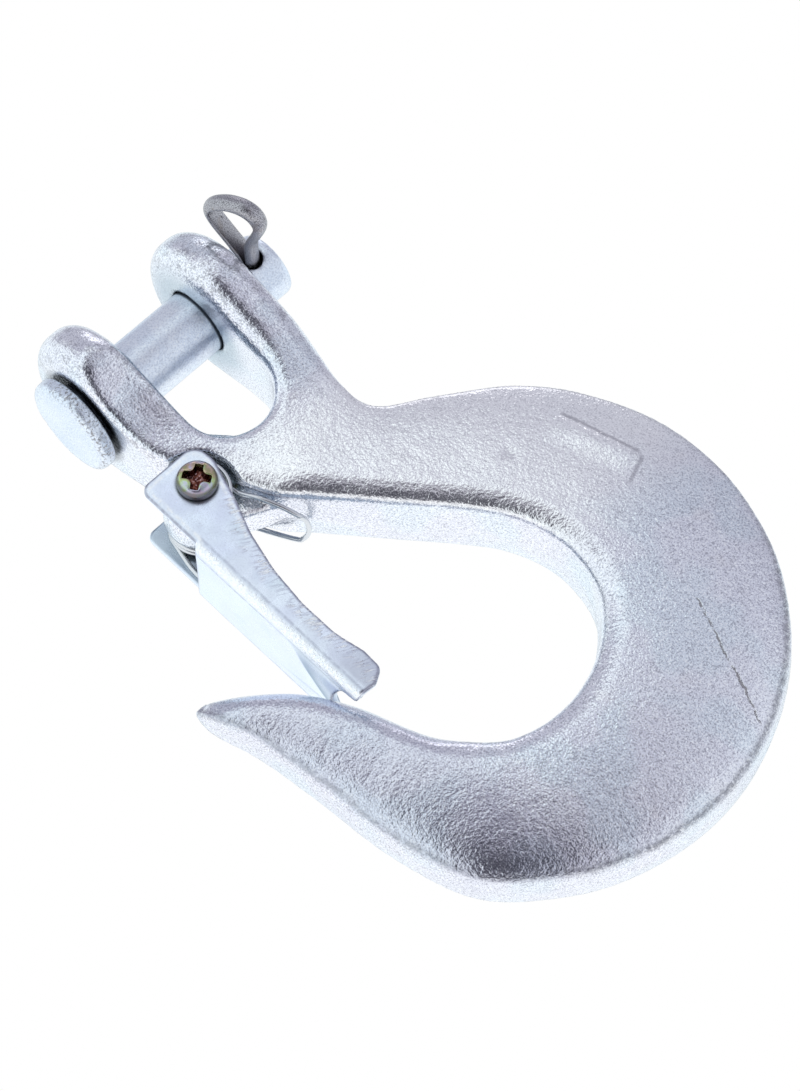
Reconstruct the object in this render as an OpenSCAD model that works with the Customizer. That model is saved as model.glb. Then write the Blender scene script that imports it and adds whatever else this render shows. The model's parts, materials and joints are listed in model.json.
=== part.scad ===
// Clevis slip hook with a sprung safety latch, for trailer safety chains.
// Frame: the clevis pin lies along X with its head on the -X side, the hook
// hangs down -Z with its opening and latch on the -X side, and Y runs across
// the thickness of the forging. The origin is on the clevis pin's centre line,
// halfway between the two ears.

/* [Clevis] */
// Width of the jaw between the ears, mm
jaw_w = 15.2; // [14.4:0.1:16.4]
// Thickness of one ear along the pin, mm
ear_t = 8.8; // [8.0:0.1:9.4]
// Radius of the round ears about the pin, mm
ear_r = 13; // [11:0.1:14]
// Depth of the jaw below the pin's centre line, mm
jaw_depth = 22.4; // [21:0.1:22.8]

/* [Clevis pin] */
// Diameter of the clevis pin, mm
pin_d = 11.1; // [9.5:0.1:11.6]
// Diameter of the pin's head, mm
pin_head_d = 16.6; // [15:0.1:18]
// Thickness of the pin's head, mm
pin_head_t = 2.9; // [2:0.1:4]
// Distance from the origin to the pin's plain end, mm
pin_end = 23.4; // [22.8:0.1:26]

/* [Cotter pin] */
// Diameter of the cotter pin's two legs together, mm
cotter_d = 3.1; // [2.6:0.1:3.3]
// Distance from the origin to the cotter hole, mm
cotter_x = 19.5; // [19.5:0.1:20.4]
// Turn of the cotter about the clevis pin, degrees
cotter_lean = 1; // [0:1:20]
// Turn of the cotter's eye about its own legs, degrees
eye_turn = -74; // [-80:1:-72]
// Length of the cotter's legs beyond the clevis pin's centre line, mm
cotter_leg = 19; // [12:1:24]

/* [Hook] */
// Half thickness of the shank and of the bowl's inner edge, mm
shank_half = 7.7; // [7.2:0.1:7.9]
// Half thickness of the bowl's outer edge, mm
rim_half = 4.6; // [3.8:0.1:6]
// Half thickness of the lug that carries the latch, mm
lug_half = 3.2; // [2.6:0.1:3.3]
// Radius of the lug about the latch pivot, mm
lug_r = 5.7; // [5:0.1:5.8]

/* [Latch] */
// Distance of the latch pivot from the origin towards -X, mm
pivot_x = 14.5; // [14.3:0.1:14.7]
// Distance of the latch pivot below the origin, mm
pivot_z = 24.2; // [24.0:0.1:24.4]
// Thickness of the latch's sheet, mm
sheet_t = 1.3; // [1:0.1:1.4]
// Width of the latch over its cheeks, mm
latch_w = 17.2; // [17.1:0.1:18]

/* [Latch screw] */
// Thread diameter of the latch screw, mm
screw_d = 3.5; // [3:0.1:3.8]
// Diameter of the screw's pan head, mm
screw_head_d = 6.4; // [6:0.1:7.2]
// Height of the screw's pan head, mm
screw_head_h = 2.3; // [2.2:0.1:2.6]
// Width of the lock nut across its flats, mm
nut_af = 7; // [6.4:0.1:8]

/* [Latch spring] */
// Diameter of the spring wire, mm
wire_d = 0.85; // [0.7:0.05:0.85]
// Mean radius of the spring's coils, mm
coil_r = 4.9; // [4.5:0.1:5]
// Turns in each of the two coils
coil_turns = 3; // [2:1:3]

/* [Hidden] */

running_fit = 0.06;               // radial clearance of pin and screw
pin_r = pin_d / 2;
screw_r = screw_d / 2;
ear_in = jaw_w / 2;               // inner face of an ear
ear_out = ear_in + ear_t;         // outer face of an ear
pivot = [-pivot_x, 0, -pivot_z];  // latch pivot
cheek_out = latch_w / 2;          // outer face of a latch cheek, |y|
cheek_in = cheek_out - sheet_t;   // inner face of a latch cheek, |y|
seat_y = cheek_out + 0.15;        // underside of the screw head and of the nut, |y|

// ---------- curves and solids ----------
// Catmull-Rom point between p1 and p2, at share t
function spline_point(p0, p1, p2, p3, t) =
    0.5 * ((2 * p1) + (p2 - p0) * t + (2 * p0 - 5 * p1 + 4 * p2 - p3) * t * t
           + (3 * p1 - p0 - 3 * p2 + p3) * t * t * t);

// smooth curve through every row, with the given steps from row to row
function smooth(rows, steps) = let (last = len(rows) - 1)
    [for (i = [0 : last - 1], j = [0 : steps - 1])
        spline_point(rows[max(i - 1, 0)], rows[i], rows[i + 1], rows[min(i + 2, last)],
                     j / steps),
     rows[last]];

// arc that rounds the corner between the points before and after it
function fillet(before, corner, after, radius, steps) = let (
        to_before = (before - corner) / norm(before - corner),
        to_after = (after - corner) / norm(after - corner),
        half = acos(min(1, max(-1, to_before * to_after))) / 2,
        bisector = (to_before + to_after) / norm(to_before + to_after),
        centre = corner + bisector * radius / sin(half),
        first = corner + to_before * radius / tan(half) - centre,
        last = corner + to_after * radius / tan(half) - centre,
        start = atan2(first[1], first[0]),
        diff = atan2(last[1], last[0]) - start,
        sweep = diff > 180 ? diff - 360 : diff < -180 ? diff + 360 : diff)
    [for (i = [0 : steps])
        let (angle = start + sweep * i / steps)
        centre + radius * [cos(angle), sin(angle)]];

// closed outline from rows of [x, z, corner radius]
function outline(rows) = let (count = len(rows), points = [for (row = rows) [row[0], row[1]]])
    [for (i = [0 : count - 1])
        let (before = points[(i + count - 1) % count], after = points[(i + 1) % count])
        each rows[i][2] > 0 ? fillet(before, points[i], after, rows[i][2], 5) : [points[i]]];

// triangles that skin a row of rings of equal size, with flat ends
function skin(rings, size) = concat(
    [for (i = [0 : rings - 2], j = [0 : size - 1], half = [0, 1])
        let (a = i * size + j, b = i * size + (j + 1) % size, c = a + size, d = b + size)
        half == 0 ? [a, b, d] : [a, d, c]],
    [[for (j = [size - 1 : -1 : 0]) j],
     [for (j = [0 : size - 1]) (rings - 1) * size + j]]);

// cylinder along Y, centred
module y_cylinder(radius, length, sides) {
    rotate([90, 0, 0]) cylinder(r = radius, h = length, center = true, $fn = sides);
}

// cutter for the latch screw's hole
module pivot_hole() {
    translate(pivot) y_cylinder(screw_r + running_fit, 40, 48);
}

// ---------- hook forging ----------
// One row per station down the hook, from the yoke to the tip: the outer edge
// (x, z), the inner edge (x, z), and the half thickness at inner and outer edge
// as shares of the shank's and the rim's.
stations = [
    [ 16.6,  -10.0, -16.4,  -10.0, 1.00, 1.68],
    [ 15.8,  -17.5, -15.0,  -17.5, 1.00, 1.64],
    [ 13.9,  -25.8, -10.4,  -25.5, 1.00, 1.58],
    [ 15.0,  -32.2,  -7.1,  -33.0, 1.00, 1.50],
    [ 22.8,  -37.2,  -3.4,  -37.4, 1.00, 1.38],
    [ 33.6,  -44.6,   4.0,  -46.1, 1.00, 1.20],
    [ 41.4,  -54.8,  10.9,  -54.1, 1.00, 1.08],
    [ 45.6,  -66.3,  15.9,  -61.2, 1.00, 1.00],
    [ 45.8,  -79.3,  18.2,  -69.4, 1.00, 1.00],
    [ 41.3,  -93.0,  16.8,  -77.7, 1.00, 1.00],
    [ 31.4, -105.3,  12.0,  -83.5, 1.00, 1.00],
    [ 17.5, -113.0,   5.4,  -87.0, 1.00, 1.00],
    [  3.2, -115.0,  -2.0,  -88.0, 1.00, 1.00],
    [-10.9, -112.0,  -9.2,  -86.2, 0.99, 0.98],
    [-22.0, -105.3, -14.0,  -82.1, 0.97, 0.95],
    [-29.3,  -97.3, -16.9,  -78.0, 0.93, 0.90],
    [-33.1,  -84.5, -19.1,  -72.4, 0.86, 0.90],
    [-34.5,  -71.0, -21.5,  -65.8, 0.80, 0.92],
    [-36.1,  -60.0, -25.7,  -58.4, 0.72, 0.94],
    [-38.0,  -53.4, -31.3,  -52.8, 0.64, 0.92],
    [-38.7,  -50.2, -35.4,  -49.9, 0.50, 0.78],
    [-38.3,  -48.9, -36.8,  -48.7, 0.24, 0.40]];
ring_points = 20;
squareness = 0.42;                // power that squares off the section; 1 is an ellipse

// outline (x, z) of the web that joins the lug to the shank
lug_web = [[-15.6, -14], [-15.6, -pivot_z], [-18.2, -28.4], [-14, -30.1], [-4.5, -34.6],
           [0, -34], [0, -23], [-8, -14]];

function squared(value) = sign(value) * pow(abs(value), squareness);

// one cross-section: a rounded slab, thicker at the inner edge
function section_ring(station) = let (
        outer = [station[0], station[1]],
        inner = [station[2], station[3]],
        middle = (outer + inner) / 2,
        reach = (outer - inner) / 2,
        inner_half = station[4] * shank_half,
        outer_half = station[5] * rim_half)
    [for (i = [0 : ring_points - 1]) let (
            angle = 360 * i / ring_points,
            across = squared(cos(angle)),
            half = inner_half + (outer_half - inner_half) * (across + 1) / 2)
        [middle[0] + reach[0] * across, half * squared(sin(angle)),
         middle[1] + reach[1] * across]];

module hook_sweep() {
    rows = smooth(stations, 3);
    polyhedron(points = [for (row = rows) each section_ring(row)],
               faces = skin(len(rows), ring_points), convexity = 6);
}

// round ear with softened rims, about the X axis
module ear_disc() {
    outer_rim = [ear_r, ear_out];
    inner_rim = [ear_r, ear_in];
    rotate([0, 90, 0])
        rotate_extrude($fn = 32)
            polygon(concat([[0, ear_in], [0, ear_out]],
                fillet([0, ear_out], outer_rim, inner_rim, 4.2, 4),
                fillet(outer_rim, inner_rim, [0, ear_in], 2.6, 3)));
}

// +X ear with its arm running down into the yoke
module arm() {
    foot_r = 3.8;                 // inner foot, flush with the jaw's wall
    hull() {
        ear_disc();
        translate([ear_in + foot_r, 0, -19]) y_cylinder(foot_r, 2 * shank_half - 1, 32);
        translate([ear_out - 3.9, 0, -17]) y_cylinder(3.2, 2 * shank_half - 1.6, 32);
    }
}

// slot between the ears, with a round floor
module jaw() {
    floor_centre = -jaw_depth + ear_in;
    cut = 60;
    translate([0, 0, floor_centre]) y_cylinder(ear_in, cut, 64);
    translate([-ear_in, -cut / 2, floor_centre]) cube([jaw_w, cut, cut]);
}

// well on the -Y side of the lug for the spring's coil, opening into a shallow
// dish that clears the latch's cheek
module pocket() {
    floor_r = 4.9;                // flat floor of the well
    corner_r = 1;                 // round at the floor's edge
    rotate([90, 0, 0])
        rotate_extrude($fn = 64)
            polygon(concat([[0, lug_half]],
                [for (angle = [-90 : 15 : 0])
                    [floor_r, lug_half + corner_r] + corner_r * [cos(angle), sin(angle)]],
                [[6.4, 6.4], [8.4, 7.05], [11, 7.75], [11, 20], [0, 20]]));
}

module lug() {
    translate([0, lug_half, 0]) rotate([90, 0, 0])
        linear_extrude(2 * lug_half, convexity = 4)
            union() {
                translate([pivot[0], pivot[2]]) circle(r = lug_r, $fn = 64);
                polygon(lug_web);
            }
}

// low seat on the tip that the latch's nose closes over
module tip_seat() {
    translate([-23.4, 0, -65.2]) rotate([0, -28, 0])
        cylinder(r = 2.0, h = 4.4, center = true, $fn = 32);
}

module hook_body() {
    color("lightsteelblue")
    difference() {
        union() {
            difference() {
                union() {
                    hook_sweep();
                    arm();
                    mirror([1, 0, 0]) arm();
                    tip_seat();
                }
                jaw();
                for (angle = [0, 180])
                    translate(pivot) rotate([0, 0, angle]) pocket();
            }
            lug();
        }
        // clevis pin holes
        rotate([0, 90, 0]) cylinder(r = pin_r + running_fit, h = 80, center = true, $fn = 96);
        pivot_hole();
    }
}

// ---------- clevis pin ----------
module clevis_pin() {
    head_in = -ear_out - 0.7;     // underside of the head, along X
    head_out = head_in - pin_head_t;
    head_r = pin_head_d / 2;
    color("silver")
    difference() {
        rotate([0, 90, 0])
            rotate_extrude($fn = 96)
                polygon(concat(
                    [[0, head_out]],
                    fillet([0, head_out], [head_r, head_out], [head_r, head_in], 1.2, 4),
                    fillet([head_r, head_out], [head_r, head_in], [0, head_in], 0.5, 3),
                    [[pin_r, head_in]],
                    fillet([pin_r, head_in], [pin_r, pin_end], [0, pin_end], 1, 4),
                    [[0, pin_end]]));
        // cotter hole
        translate([cotter_x, 0, 0]) rotate([90 - cotter_lean, 0, 0])
            cylinder(r = cotter_d / 2 + 0.35, h = 30, center = true, $fn = 48);
    }
}

// ---------- cotter pin ----------
// Built upright in its own frame: legs down -z, eye up +z.
eye_wire_r = 0.48 * cotter_d;     // half-round wire of the eye
leg_gap_half = 0.06;              // half the gap between the legs

// flat inner side of the eye's wire (x, z), from one leg over the crown to the
// other; the eye leans over to one side
eye_line = [
    [0.07, 4.2], [0.05, 6.0], [-0.1, 8.0], [-0.12, 10.0], [0.12, 12.0], [0.85, 14.0],
    [1.6, 16.1], [1.8, 17.8], [1.0, 19.2], [-0.6, 19.7], [-2.5, 19.2], [-4.2, 18.1],
    [-5.6, 16.6], [-6.15, 15.0], [-5.5, 13.1], [-4.2, 11.1], [-2.65, 9.0], [-1.15, 7.0],
    [-0.2, 5.5], [-0.07, 3.9]];

module eye() {
    path = smooth(eye_line, 2);
    count = len(path);
    // half-round section with its flat side inwards
    section = [for (angle = [90 : -22.5 : -90]) eye_wire_r * [cos(angle), sin(angle)]];
    polyhedron(
        points = [for (i = [0 : count - 1])
            let (along = path[min(i + 1, count - 1)] - path[max(i - 1, 0)],
                 outward = [along[1], -along[0]] / norm(along))
            for (point = section)
                [path[i][0] + outward[0] * point[0], point[1],
                 path[i][1] + outward[1] * point[0]]],
        faces = skin(count, len(section)), convexity = 4);
}

// half-round leg: the part of a round bar inside a slab that starts at slab_x
module cotter_half(bottom, top, slab_x, slab_w) {
    intersection() {
        translate([0, 0, bottom]) cylinder(r = cotter_d / 2, h = top - bottom, $fn = 48);
        translate([slab_x, -slab_w, bottom]) cube([slab_w, 2 * slab_w, top - bottom]);
    }
}

module cotter_pin() {
    slab_w = 5;
    color("dimgray")
    translate([cotter_x, 0, 0])
    rotate([90 - cotter_lean, 0, 0])
    rotate([0, 0, eye_turn]) {
        union() {
            eye();
            // two legs, one a little longer
            cotter_half(-cotter_leg, 4.8, leg_gap_half, slab_w);
            cotter_half(1.6 - cotter_leg, 4.2, -leg_gap_half - slab_w, slab_w);
        }
    }
}

// ---------- latch ----------
web_out = -22.4;                  // outer plane of the web, x
web_in = web_out + sheet_t;       // inner plane of the web, x
bend_r = 2.1;                     // outer radius of the bends
bend_edge = web_out + bend_r;     // where the bends run out into the cheeks, x
web_bottom = -66;
web_top = -31.8;

// cheek outlines, rows of [x, z, corner radius]: both cheeks share the rows
// round the pivot and down the hook side, and the rows at the web's top
cheek_start = [[-21.5, -18.9, 1.6], [-10.2, -18.9, 2.6], [-9.9, -23.0, 3.0],
               [-12.2, -30.4, 8], [-14.4, -35.8, 12], [-16.2, -43.0, 16]];
cheek_end = [[bend_edge, -31.9, 0], [-21.5, -31.0, 0.6]];
near_cheek = concat(cheek_start,
    [[-17.0, -50.0, 16], [-16.9, -57.0, 12], [-15.9, -61.8, 2], [-16.0, -65.6, 1.6],
     [-18.4, -67.0, 1.2], [bend_edge, -66.7, 0]],
    cheek_end);
// cut short before the nose
far_cheek = concat(cheek_start,
    [[-17.0, -50.0, 12], [-17.4, -55.6, 4], [-20.0, -61.6, 0], [bend_edge, -61.6, 0]],
    cheek_end);

// cheek whose +Y face lies at y
module cheek_plate(rows, y) {
    translate([0, y, 0]) rotate([90, 0, 0])
        linear_extrude(sheet_t, convexity = 4) polygon(outline(rows));
}

// web with its two bends
module latch_web() {
    edge = bend_edge + 0.1;       // overlaps the cheeks
    outer_near = [web_out, -cheek_out];
    outer_far = [web_out, cheek_out];
    inner_near = [web_in, -cheek_in];
    inner_far = [web_in, cheek_in];
    inner_r = bend_r - sheet_t;
    translate([0, 0, web_bottom]) linear_extrude(web_top - web_bottom, convexity = 4)
        polygon(concat(
            fillet([edge, -cheek_out], outer_near, outer_far, bend_r, 6),
            fillet(outer_near, outer_far, [edge, cheek_out], bend_r, 6),
            [[edge, cheek_out], [edge, cheek_in]],
            fillet([edge, cheek_in], inner_far, inner_near, inner_r, 4),
            fillet(inner_far, inner_near, [edge, -cheek_in], inner_r, 4),
            [[edge, -cheek_in], [edge, -cheek_out]]));
}

module latch() {
    color("powderblue")
    difference() {
        union() {
            // near cheek on the -Y side, far cheek on the +Y side
            cheek_plate(near_cheek, -cheek_in);
            cheek_plate(far_cheek, cheek_out);
            latch_web();
        }
        pivot_hole();
        // hollow in the nose that clears the seat on the hook's tip
        translate([-24, 0, -67.4]) rotate([0, 90, 0])
            cylinder(r = 7.2, h = 6, center = true, $fn = 64);
    }
}

// ---------- latch screw, nut and insert ----------
// The screw's head is on the -Y side, the nut on the +Y side.
bore_r = screw_r + 0.01;          // bore of the nut and its insert
groove_z = seat_y + 2.6;          // groove inside the nut that holds the insert
groove_r = screw_r + 1.0;
groove_h = 1.2;
insert_gap = 0.02;                // between the insert and its groove

module latch_screw() {
    head_r = screw_head_d / 2;
    head_top = seat_y + screw_head_h;
    screw_end = -cheek_out - 5.2;
    chamfer = 0.4;
    slot_l = 3.5;
    slot_w = 0.84;
    color("goldenrod")
    translate(pivot) rotate([90, 0, 0])
    difference() {
        rotate_extrude($fn = 64)
            polygon(concat(
                [[0, screw_end], [screw_r - chamfer, screw_end],
                 [screw_r, screw_end + chamfer], [screw_r, seat_y], [head_r - 0.1, seat_y]],
                fillet([head_r, seat_y], [head_r, seat_y + screw_head_h * 0.9],
                       [0, head_top], 1.3, 5),
                [[0, head_top]]));
        // cross recess
        for (angle = [40, 130])
            rotate([0, 0, angle]) translate([-slot_l / 2, -slot_w / 2, seat_y + 0.5])
                cube([slot_l, slot_w, 4]);
    }
}

module latch_nut() {
    color("gainsboro")
    translate(pivot) rotate([-90, 0, 0])
    difference() {
        // hexagon and round collar
        union() {
            translate([0, 0, seat_y]) cylinder(r = nut_af / sqrt(3), h = 3, $fn = 6);
            translate([0, 0, seat_y + 2.9]) cylinder(r = nut_af / 2 - 0.1, h = 1.4, $fn = 64);
        }
        // bore, groove and the collar's wider mouth
        translate([0, 0, seat_y - 1]) cylinder(r = bore_r, h = 6, $fn = 48);
        translate([0, 0, groove_z]) cylinder(r = groove_r, h = groove_h, $fn = 48);
        translate([0, 0, groove_z]) cylinder(r = screw_r + 0.6, h = 3, $fn = 48);
    }
}

module latch_nut_insert() {
    color("royalblue")
    translate(pivot) rotate([-90, 0, 0]) translate([0, 0, groove_z + insert_gap])
    difference() {
        cylinder(r = groove_r - insert_gap, h = groove_h - 2 * insert_gap, $fn = 48);
        translate([0, 0, -1]) cylinder(r = bore_r, h = 4, $fn = 48);
    }
}

// ---------- latch spring ----------
coil_in = lug_half + 0.35 + wire_d / 2;           // |y| of the first turn
coil_out = cheek_in - 0.15 - wire_d / 2;          // |y| of the last turn
// Angles about the pivot: 0 points along +X, 90 along +Z.
loop_angle = 20;                                  // where the loop strands leave the coils
leg_angle = 175;                                  // where the outer legs leave the coils
coil_sweep = 360 * (coil_turns - 1) + leg_angle - loop_angle;
coil_steps = 16 * coil_turns;
wire_sides = 8;

// loop strand from the loop's tip up to the coil: x, |y|, z
strand = [[-6.9, 4.9, -34.9], [-8.4, 5.3, -31.6], [-9.75, 4.85, -28.9],
          [-10.05, 4.45, -27.2], [-9.8, 4.1, -25.6]];
// outer leg down from the coil: x, inset of |y| from the last turn, z
outer_leg = [[-20.3, 0, -28.2], [-20.5, 0.3, -33], [-20.55, 0.6, -38]];

// one side of the spring (-1 or 1 in Y), from the loop's tip to its outer leg's end
function half_spring(side) = concat(
    [for (angle = [0 : 15 : 75]) let (rise = 1 - cos(angle))
        [-4.9 - 1.4 * rise, side * 4.3 * sin(angle), -38.4 + 1.6 * rise]],
    [for (point = strand) [point[0], side * point[1], point[2]]],
    [for (i = [0 : coil_steps])
        let (share = i / coil_steps, angle = loop_angle + share * coil_sweep)
        [pivot[0] + coil_r * cos(angle), side * (coil_in + share * (coil_out - coil_in)),
         pivot[2] + coil_r * sin(angle)]],
    [for (point = outer_leg) [point[0], side * (coil_out - point[1]), point[2]]]);

module latch_spring() {
    near = half_spring(-1);
    // the two halves share the point at the loop's tip
    path = concat([for (i = [len(near) - 1 : -1 : 1]) near[i]], half_spring(1));
    count = len(path);
    color("gray")
    polyhedron(
        points = [for (i = [0 : count - 1])
            let (step = path[min(i + 1, count - 1)] - path[max(i - 1, 0)],
                 along = step / norm(step),
                 from_pivot = path[i] - [pivot[0], path[i][1], pivot[2]],
                 square = from_pivot - (from_pivot * along) * along,
                 outward = square / norm(square),
                 sideways = cross(outward, along))
            for (j = [0 : wire_sides - 1])
                let (angle = 360 * j / wire_sides)
                path[i] + wire_d / 2 * (cos(angle) * outward + sin(angle) * sideways)],
        faces = skin(count, wire_sides), convexity = 10);
}

hook_body();
clevis_pin();
cotter_pin();
latch();
latch_screw();
latch_nut();
latch_nut_insert();
latch_spring();
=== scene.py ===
"""Forged clevis hook with a sprung latch, a clevis pin and a cotter pin.

The frame is in metres with +Z up. The clevis opens upwards and its pin lies along X through
the origin. The bowl hangs below, its flat faces towards -Y and +Y, and its tip stands on the
-X side. The latch turns on a screw along Y and closes the gap between shank and tip.
Meshes are worked out in millimetres: most as the zero surface of a distance field (negative
inside the solid), the two wires as swept sections.
"""
import math
from functools import cached_property
from itertools import product

import bpy
import numpy as np
from mathutils import Matrix, Vector
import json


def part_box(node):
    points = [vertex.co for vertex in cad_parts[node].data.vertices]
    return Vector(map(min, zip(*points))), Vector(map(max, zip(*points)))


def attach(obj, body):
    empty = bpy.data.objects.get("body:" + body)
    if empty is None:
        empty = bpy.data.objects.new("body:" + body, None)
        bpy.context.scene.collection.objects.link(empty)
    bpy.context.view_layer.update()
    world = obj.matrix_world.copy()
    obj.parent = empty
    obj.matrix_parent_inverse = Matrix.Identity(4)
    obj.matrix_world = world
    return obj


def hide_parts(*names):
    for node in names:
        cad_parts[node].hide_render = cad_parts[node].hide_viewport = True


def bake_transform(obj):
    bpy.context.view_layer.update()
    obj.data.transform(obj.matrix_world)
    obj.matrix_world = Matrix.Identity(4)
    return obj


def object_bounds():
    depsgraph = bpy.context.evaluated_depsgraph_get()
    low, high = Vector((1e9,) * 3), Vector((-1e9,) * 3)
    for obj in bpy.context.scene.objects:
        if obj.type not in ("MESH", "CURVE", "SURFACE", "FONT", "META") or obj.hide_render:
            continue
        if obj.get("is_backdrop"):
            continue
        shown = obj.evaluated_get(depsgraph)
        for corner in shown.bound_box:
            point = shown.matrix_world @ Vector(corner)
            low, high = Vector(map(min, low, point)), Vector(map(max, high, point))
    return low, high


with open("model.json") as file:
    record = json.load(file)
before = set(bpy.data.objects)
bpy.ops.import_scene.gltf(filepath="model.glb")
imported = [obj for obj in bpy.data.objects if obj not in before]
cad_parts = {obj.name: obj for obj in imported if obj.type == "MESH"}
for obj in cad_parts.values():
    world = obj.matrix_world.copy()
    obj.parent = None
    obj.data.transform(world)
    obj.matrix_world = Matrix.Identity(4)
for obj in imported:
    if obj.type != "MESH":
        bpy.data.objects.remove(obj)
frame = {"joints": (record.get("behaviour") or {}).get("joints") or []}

LO0, HI0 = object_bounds()
MM = 0.001


# ---------------------------------------------------------------- places from the frame, in mm
def node_box(node):
    low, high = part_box(node)
    return np.array(low) / MM, np.array(high) / MM


joints = {joint["name"]: joint for joint in frame["joints"]}
PIVOT = np.array(joints["latch_pivot"]["pos_m"]) / MM
COTTER_AXIS = np.array(joints["cotter_withdraw"]["axis"], float)  # from the legs to the eye
COTTER_AXIS /= np.linalg.norm(COTTER_AXIS)
HOOK = node_box("hook_body")
PIN = node_box("clevis_pin")
LATCH = node_box("latch")
SCREW = node_box("latch_screw")
NUT = node_box("latch_nut")
INSERT = node_box("latch_nut_insert")

EAR_OUT = 16.4          # |x| of an ear's outer face
EAR_IN = 7.6            # |x| of an ear's inner face
EAR_R = HOOK[1][2]
SHANK = 7.7             # half thickness at the inner edge of the bowl
RIM = 4.6               # half thickness at its outer edge
LUG = 3.2               # half thickness of the lug that carries the latch
PIN_R = 5.55
COTTER_X = 19.5
CHEEK = LATCH[1][1]     # |y| of a latch cheek's outer face
SHEET = 1.3             # latch sheet thickness
BEND = 2.1              # outer radius of the latch's bends
SCREW_HOLE_R = 1.81

CORNERS = list(product((0, 1), repeat=3))


# ---------------------------------------------------------------- number tools
def ease(start, end, value):
    """Smooth step from 0 at start to 1 at end; start may be the larger."""
    part = np.clip((value - start) / (end - start), 0.0, 1.0)
    return part * part * (3 - 2 * part)


def blend_min(one, two, width):
    """Union of two solids with a soft joint."""
    share = np.clip(0.5 + 0.5 * (two - one) / width, 0, 1)
    return two + (one - two) * share - width * share * (1 - share)


def blend_max(one, two, width):
    """Intersection of two solids with a soft edge."""
    return -blend_min(-one, -two, width)


def round_max(one, two, radius):
    """Intersection of two solids with the edge between them rounded to a radius."""
    return (np.minimum(np.maximum(one, two) + radius, 0)
            + np.hypot(np.maximum(one + radius, 0), np.maximum(two + radius, 0)) - radius)


def bell(value, centre, width):
    return np.exp(-((value - centre) / width) ** 2)


def through(rows, steps):
    """Smooth curve through rows, with a number of steps between two."""
    knots = np.array(rows, float)
    last = len(knots) - 1
    curve = []
    for i in range(last):
        a, b, c, d = knots[max(i - 1, 0)], knots[i], knots[i + 1], knots[min(i + 2, last)]
        for j in range(steps):
            t = j / steps
            curve.append(0.5 * (2 * b + (c - a) * t + (2 * a - 5 * b + 4 * c - d) * t * t
                                + (3 * b - a - 3 * c + d) * t ** 3))
    curve.append(knots[last])
    return np.array(curve)


def fillet(before, point, after, radius, steps=6):
    """Arc that rounds the corner at point."""
    before, point, after = (np.array(p, float) for p in (before, point, after))
    back = (before - point) / np.linalg.norm(before - point)
    ahead = (after - point) / np.linalg.norm(after - point)
    half = math.acos(max(-1, min(1, float(back @ ahead)))) / 2
    bisector = (back + ahead) / np.linalg.norm(back + ahead)
    centre = point + bisector * radius / math.sin(half)
    first = point + back * radius / math.tan(half)
    last = point + ahead * radius / math.tan(half)
    start = math.atan2(*(first - centre)[::-1])
    turn = (math.atan2(*(last - centre)[::-1]) - start + math.pi) % (2 * math.pi) - math.pi
    angles = [start + turn * i / steps for i in range(steps + 1)]
    return [centre + radius * np.array([math.cos(q), math.sin(q)]) for q in angles]


def outline(rows):
    """Closed outline from rows of x, z and corner radius."""
    points = []
    for i, (x, z, radius) in enumerate(rows):
        if radius > 0:
            points += fillet(rows[i - 1][:2], (x, z), rows[(i + 1) % len(rows)][:2], radius)
        else:
            points.append(np.array((x, z), float))
    return np.array(points)


def part_along(x, z, start, edge):
    return np.clip(((x - start[0]) * edge[0] + (z - start[1]) * edge[1]) / (edge @ edge), 0, 1)


def to_line(x, z, line):
    """Distance to an open line and how far along its rows the nearest point is."""
    x, z = np.broadcast_arrays(x, z)
    best = np.full(x.shape, 1e18)
    place = np.zeros(x.shape)
    for i in range(len(line) - 1):
        start, edge = line[i], line[i + 1] - line[i]
        t = part_along(x, z, start, edge)
        square = (x - start[0] - t * edge[0]) ** 2 + (z - start[1] - t * edge[1]) ** 2
        nearer = square < best
        best = np.where(nearer, square, best)
        place = np.where(nearer, i + t, place)
    return np.sqrt(best), place


def inside_of(x, z, points):
    """Signed distance to a closed outline, negative inside."""
    x, z = np.broadcast_arrays(x, z)
    best = np.full(x.shape, 1e18)
    odd = np.zeros(x.shape, bool)
    for i in range(len(points)):
        start, end = points[i - 1], points[i]
        edge = end - start
        if edge @ edge < 1e-12:
            continue
        t = part_along(x, z, start, edge)
        square = (x - start[0] - t * edge[0]) ** 2 + (z - start[1] - t * edge[1]) ** 2
        best = np.minimum(best, square)
        if start[1] != end[1]:
            crosses = (start[1] > z) != (end[1] > z)
            odd ^= crosses & (x < start[0] + (z - start[1]) * edge[0] / edge[1])
    return np.where(odd, -1, 1) * np.sqrt(best)


def corner_weight(part, corner):
    """Share of one cell corner for points at the given parts of their cells."""
    weight = np.where(corner, part, 1 - part)
    return weight[:, 0] * weight[:, 1] * weight[:, 2]


def scramble(code):
    for shift, factor in ((15, 0x2C1B3C6D), (12, 0x297A2D39)):
        code = (code ^ (code >> np.uint64(shift))) * np.uint64(factor) & np.uint64(0xFFFFFFFF)
    return code ^ (code >> np.uint64(15))


def noise(points, size, seed):
    """Smooth lattice noise about -1 to 1, with features of the given size."""
    scaled = points / size + seed * 13.71
    cell = np.floor(scaled).astype(np.int64)
    part = scaled - cell
    eased = part * part * part * (part * (part * 6 - 15) + 10)
    total = np.zeros(len(points))
    for corner in CORNERS:
        key = (cell + np.array(corner) + 100000).astype(np.uint64)
        code = scramble(key[:, 0] * np.uint64(73856093) ^ key[:, 1] * np.uint64(19349663)
                        ^ key[:, 2] * np.uint64(83492791) ^ np.uint64(seed * 7919))
        slope = np.stack([(code >> np.uint64(shift)).astype(np.int64) & 1023
                          for shift in (0, 10, 20)], 1) / 511.5 - 1
        total += corner_weight(eased, corner) * ((part - np.array(corner)) * slope).sum(1)
    return total * 1.5


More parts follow.
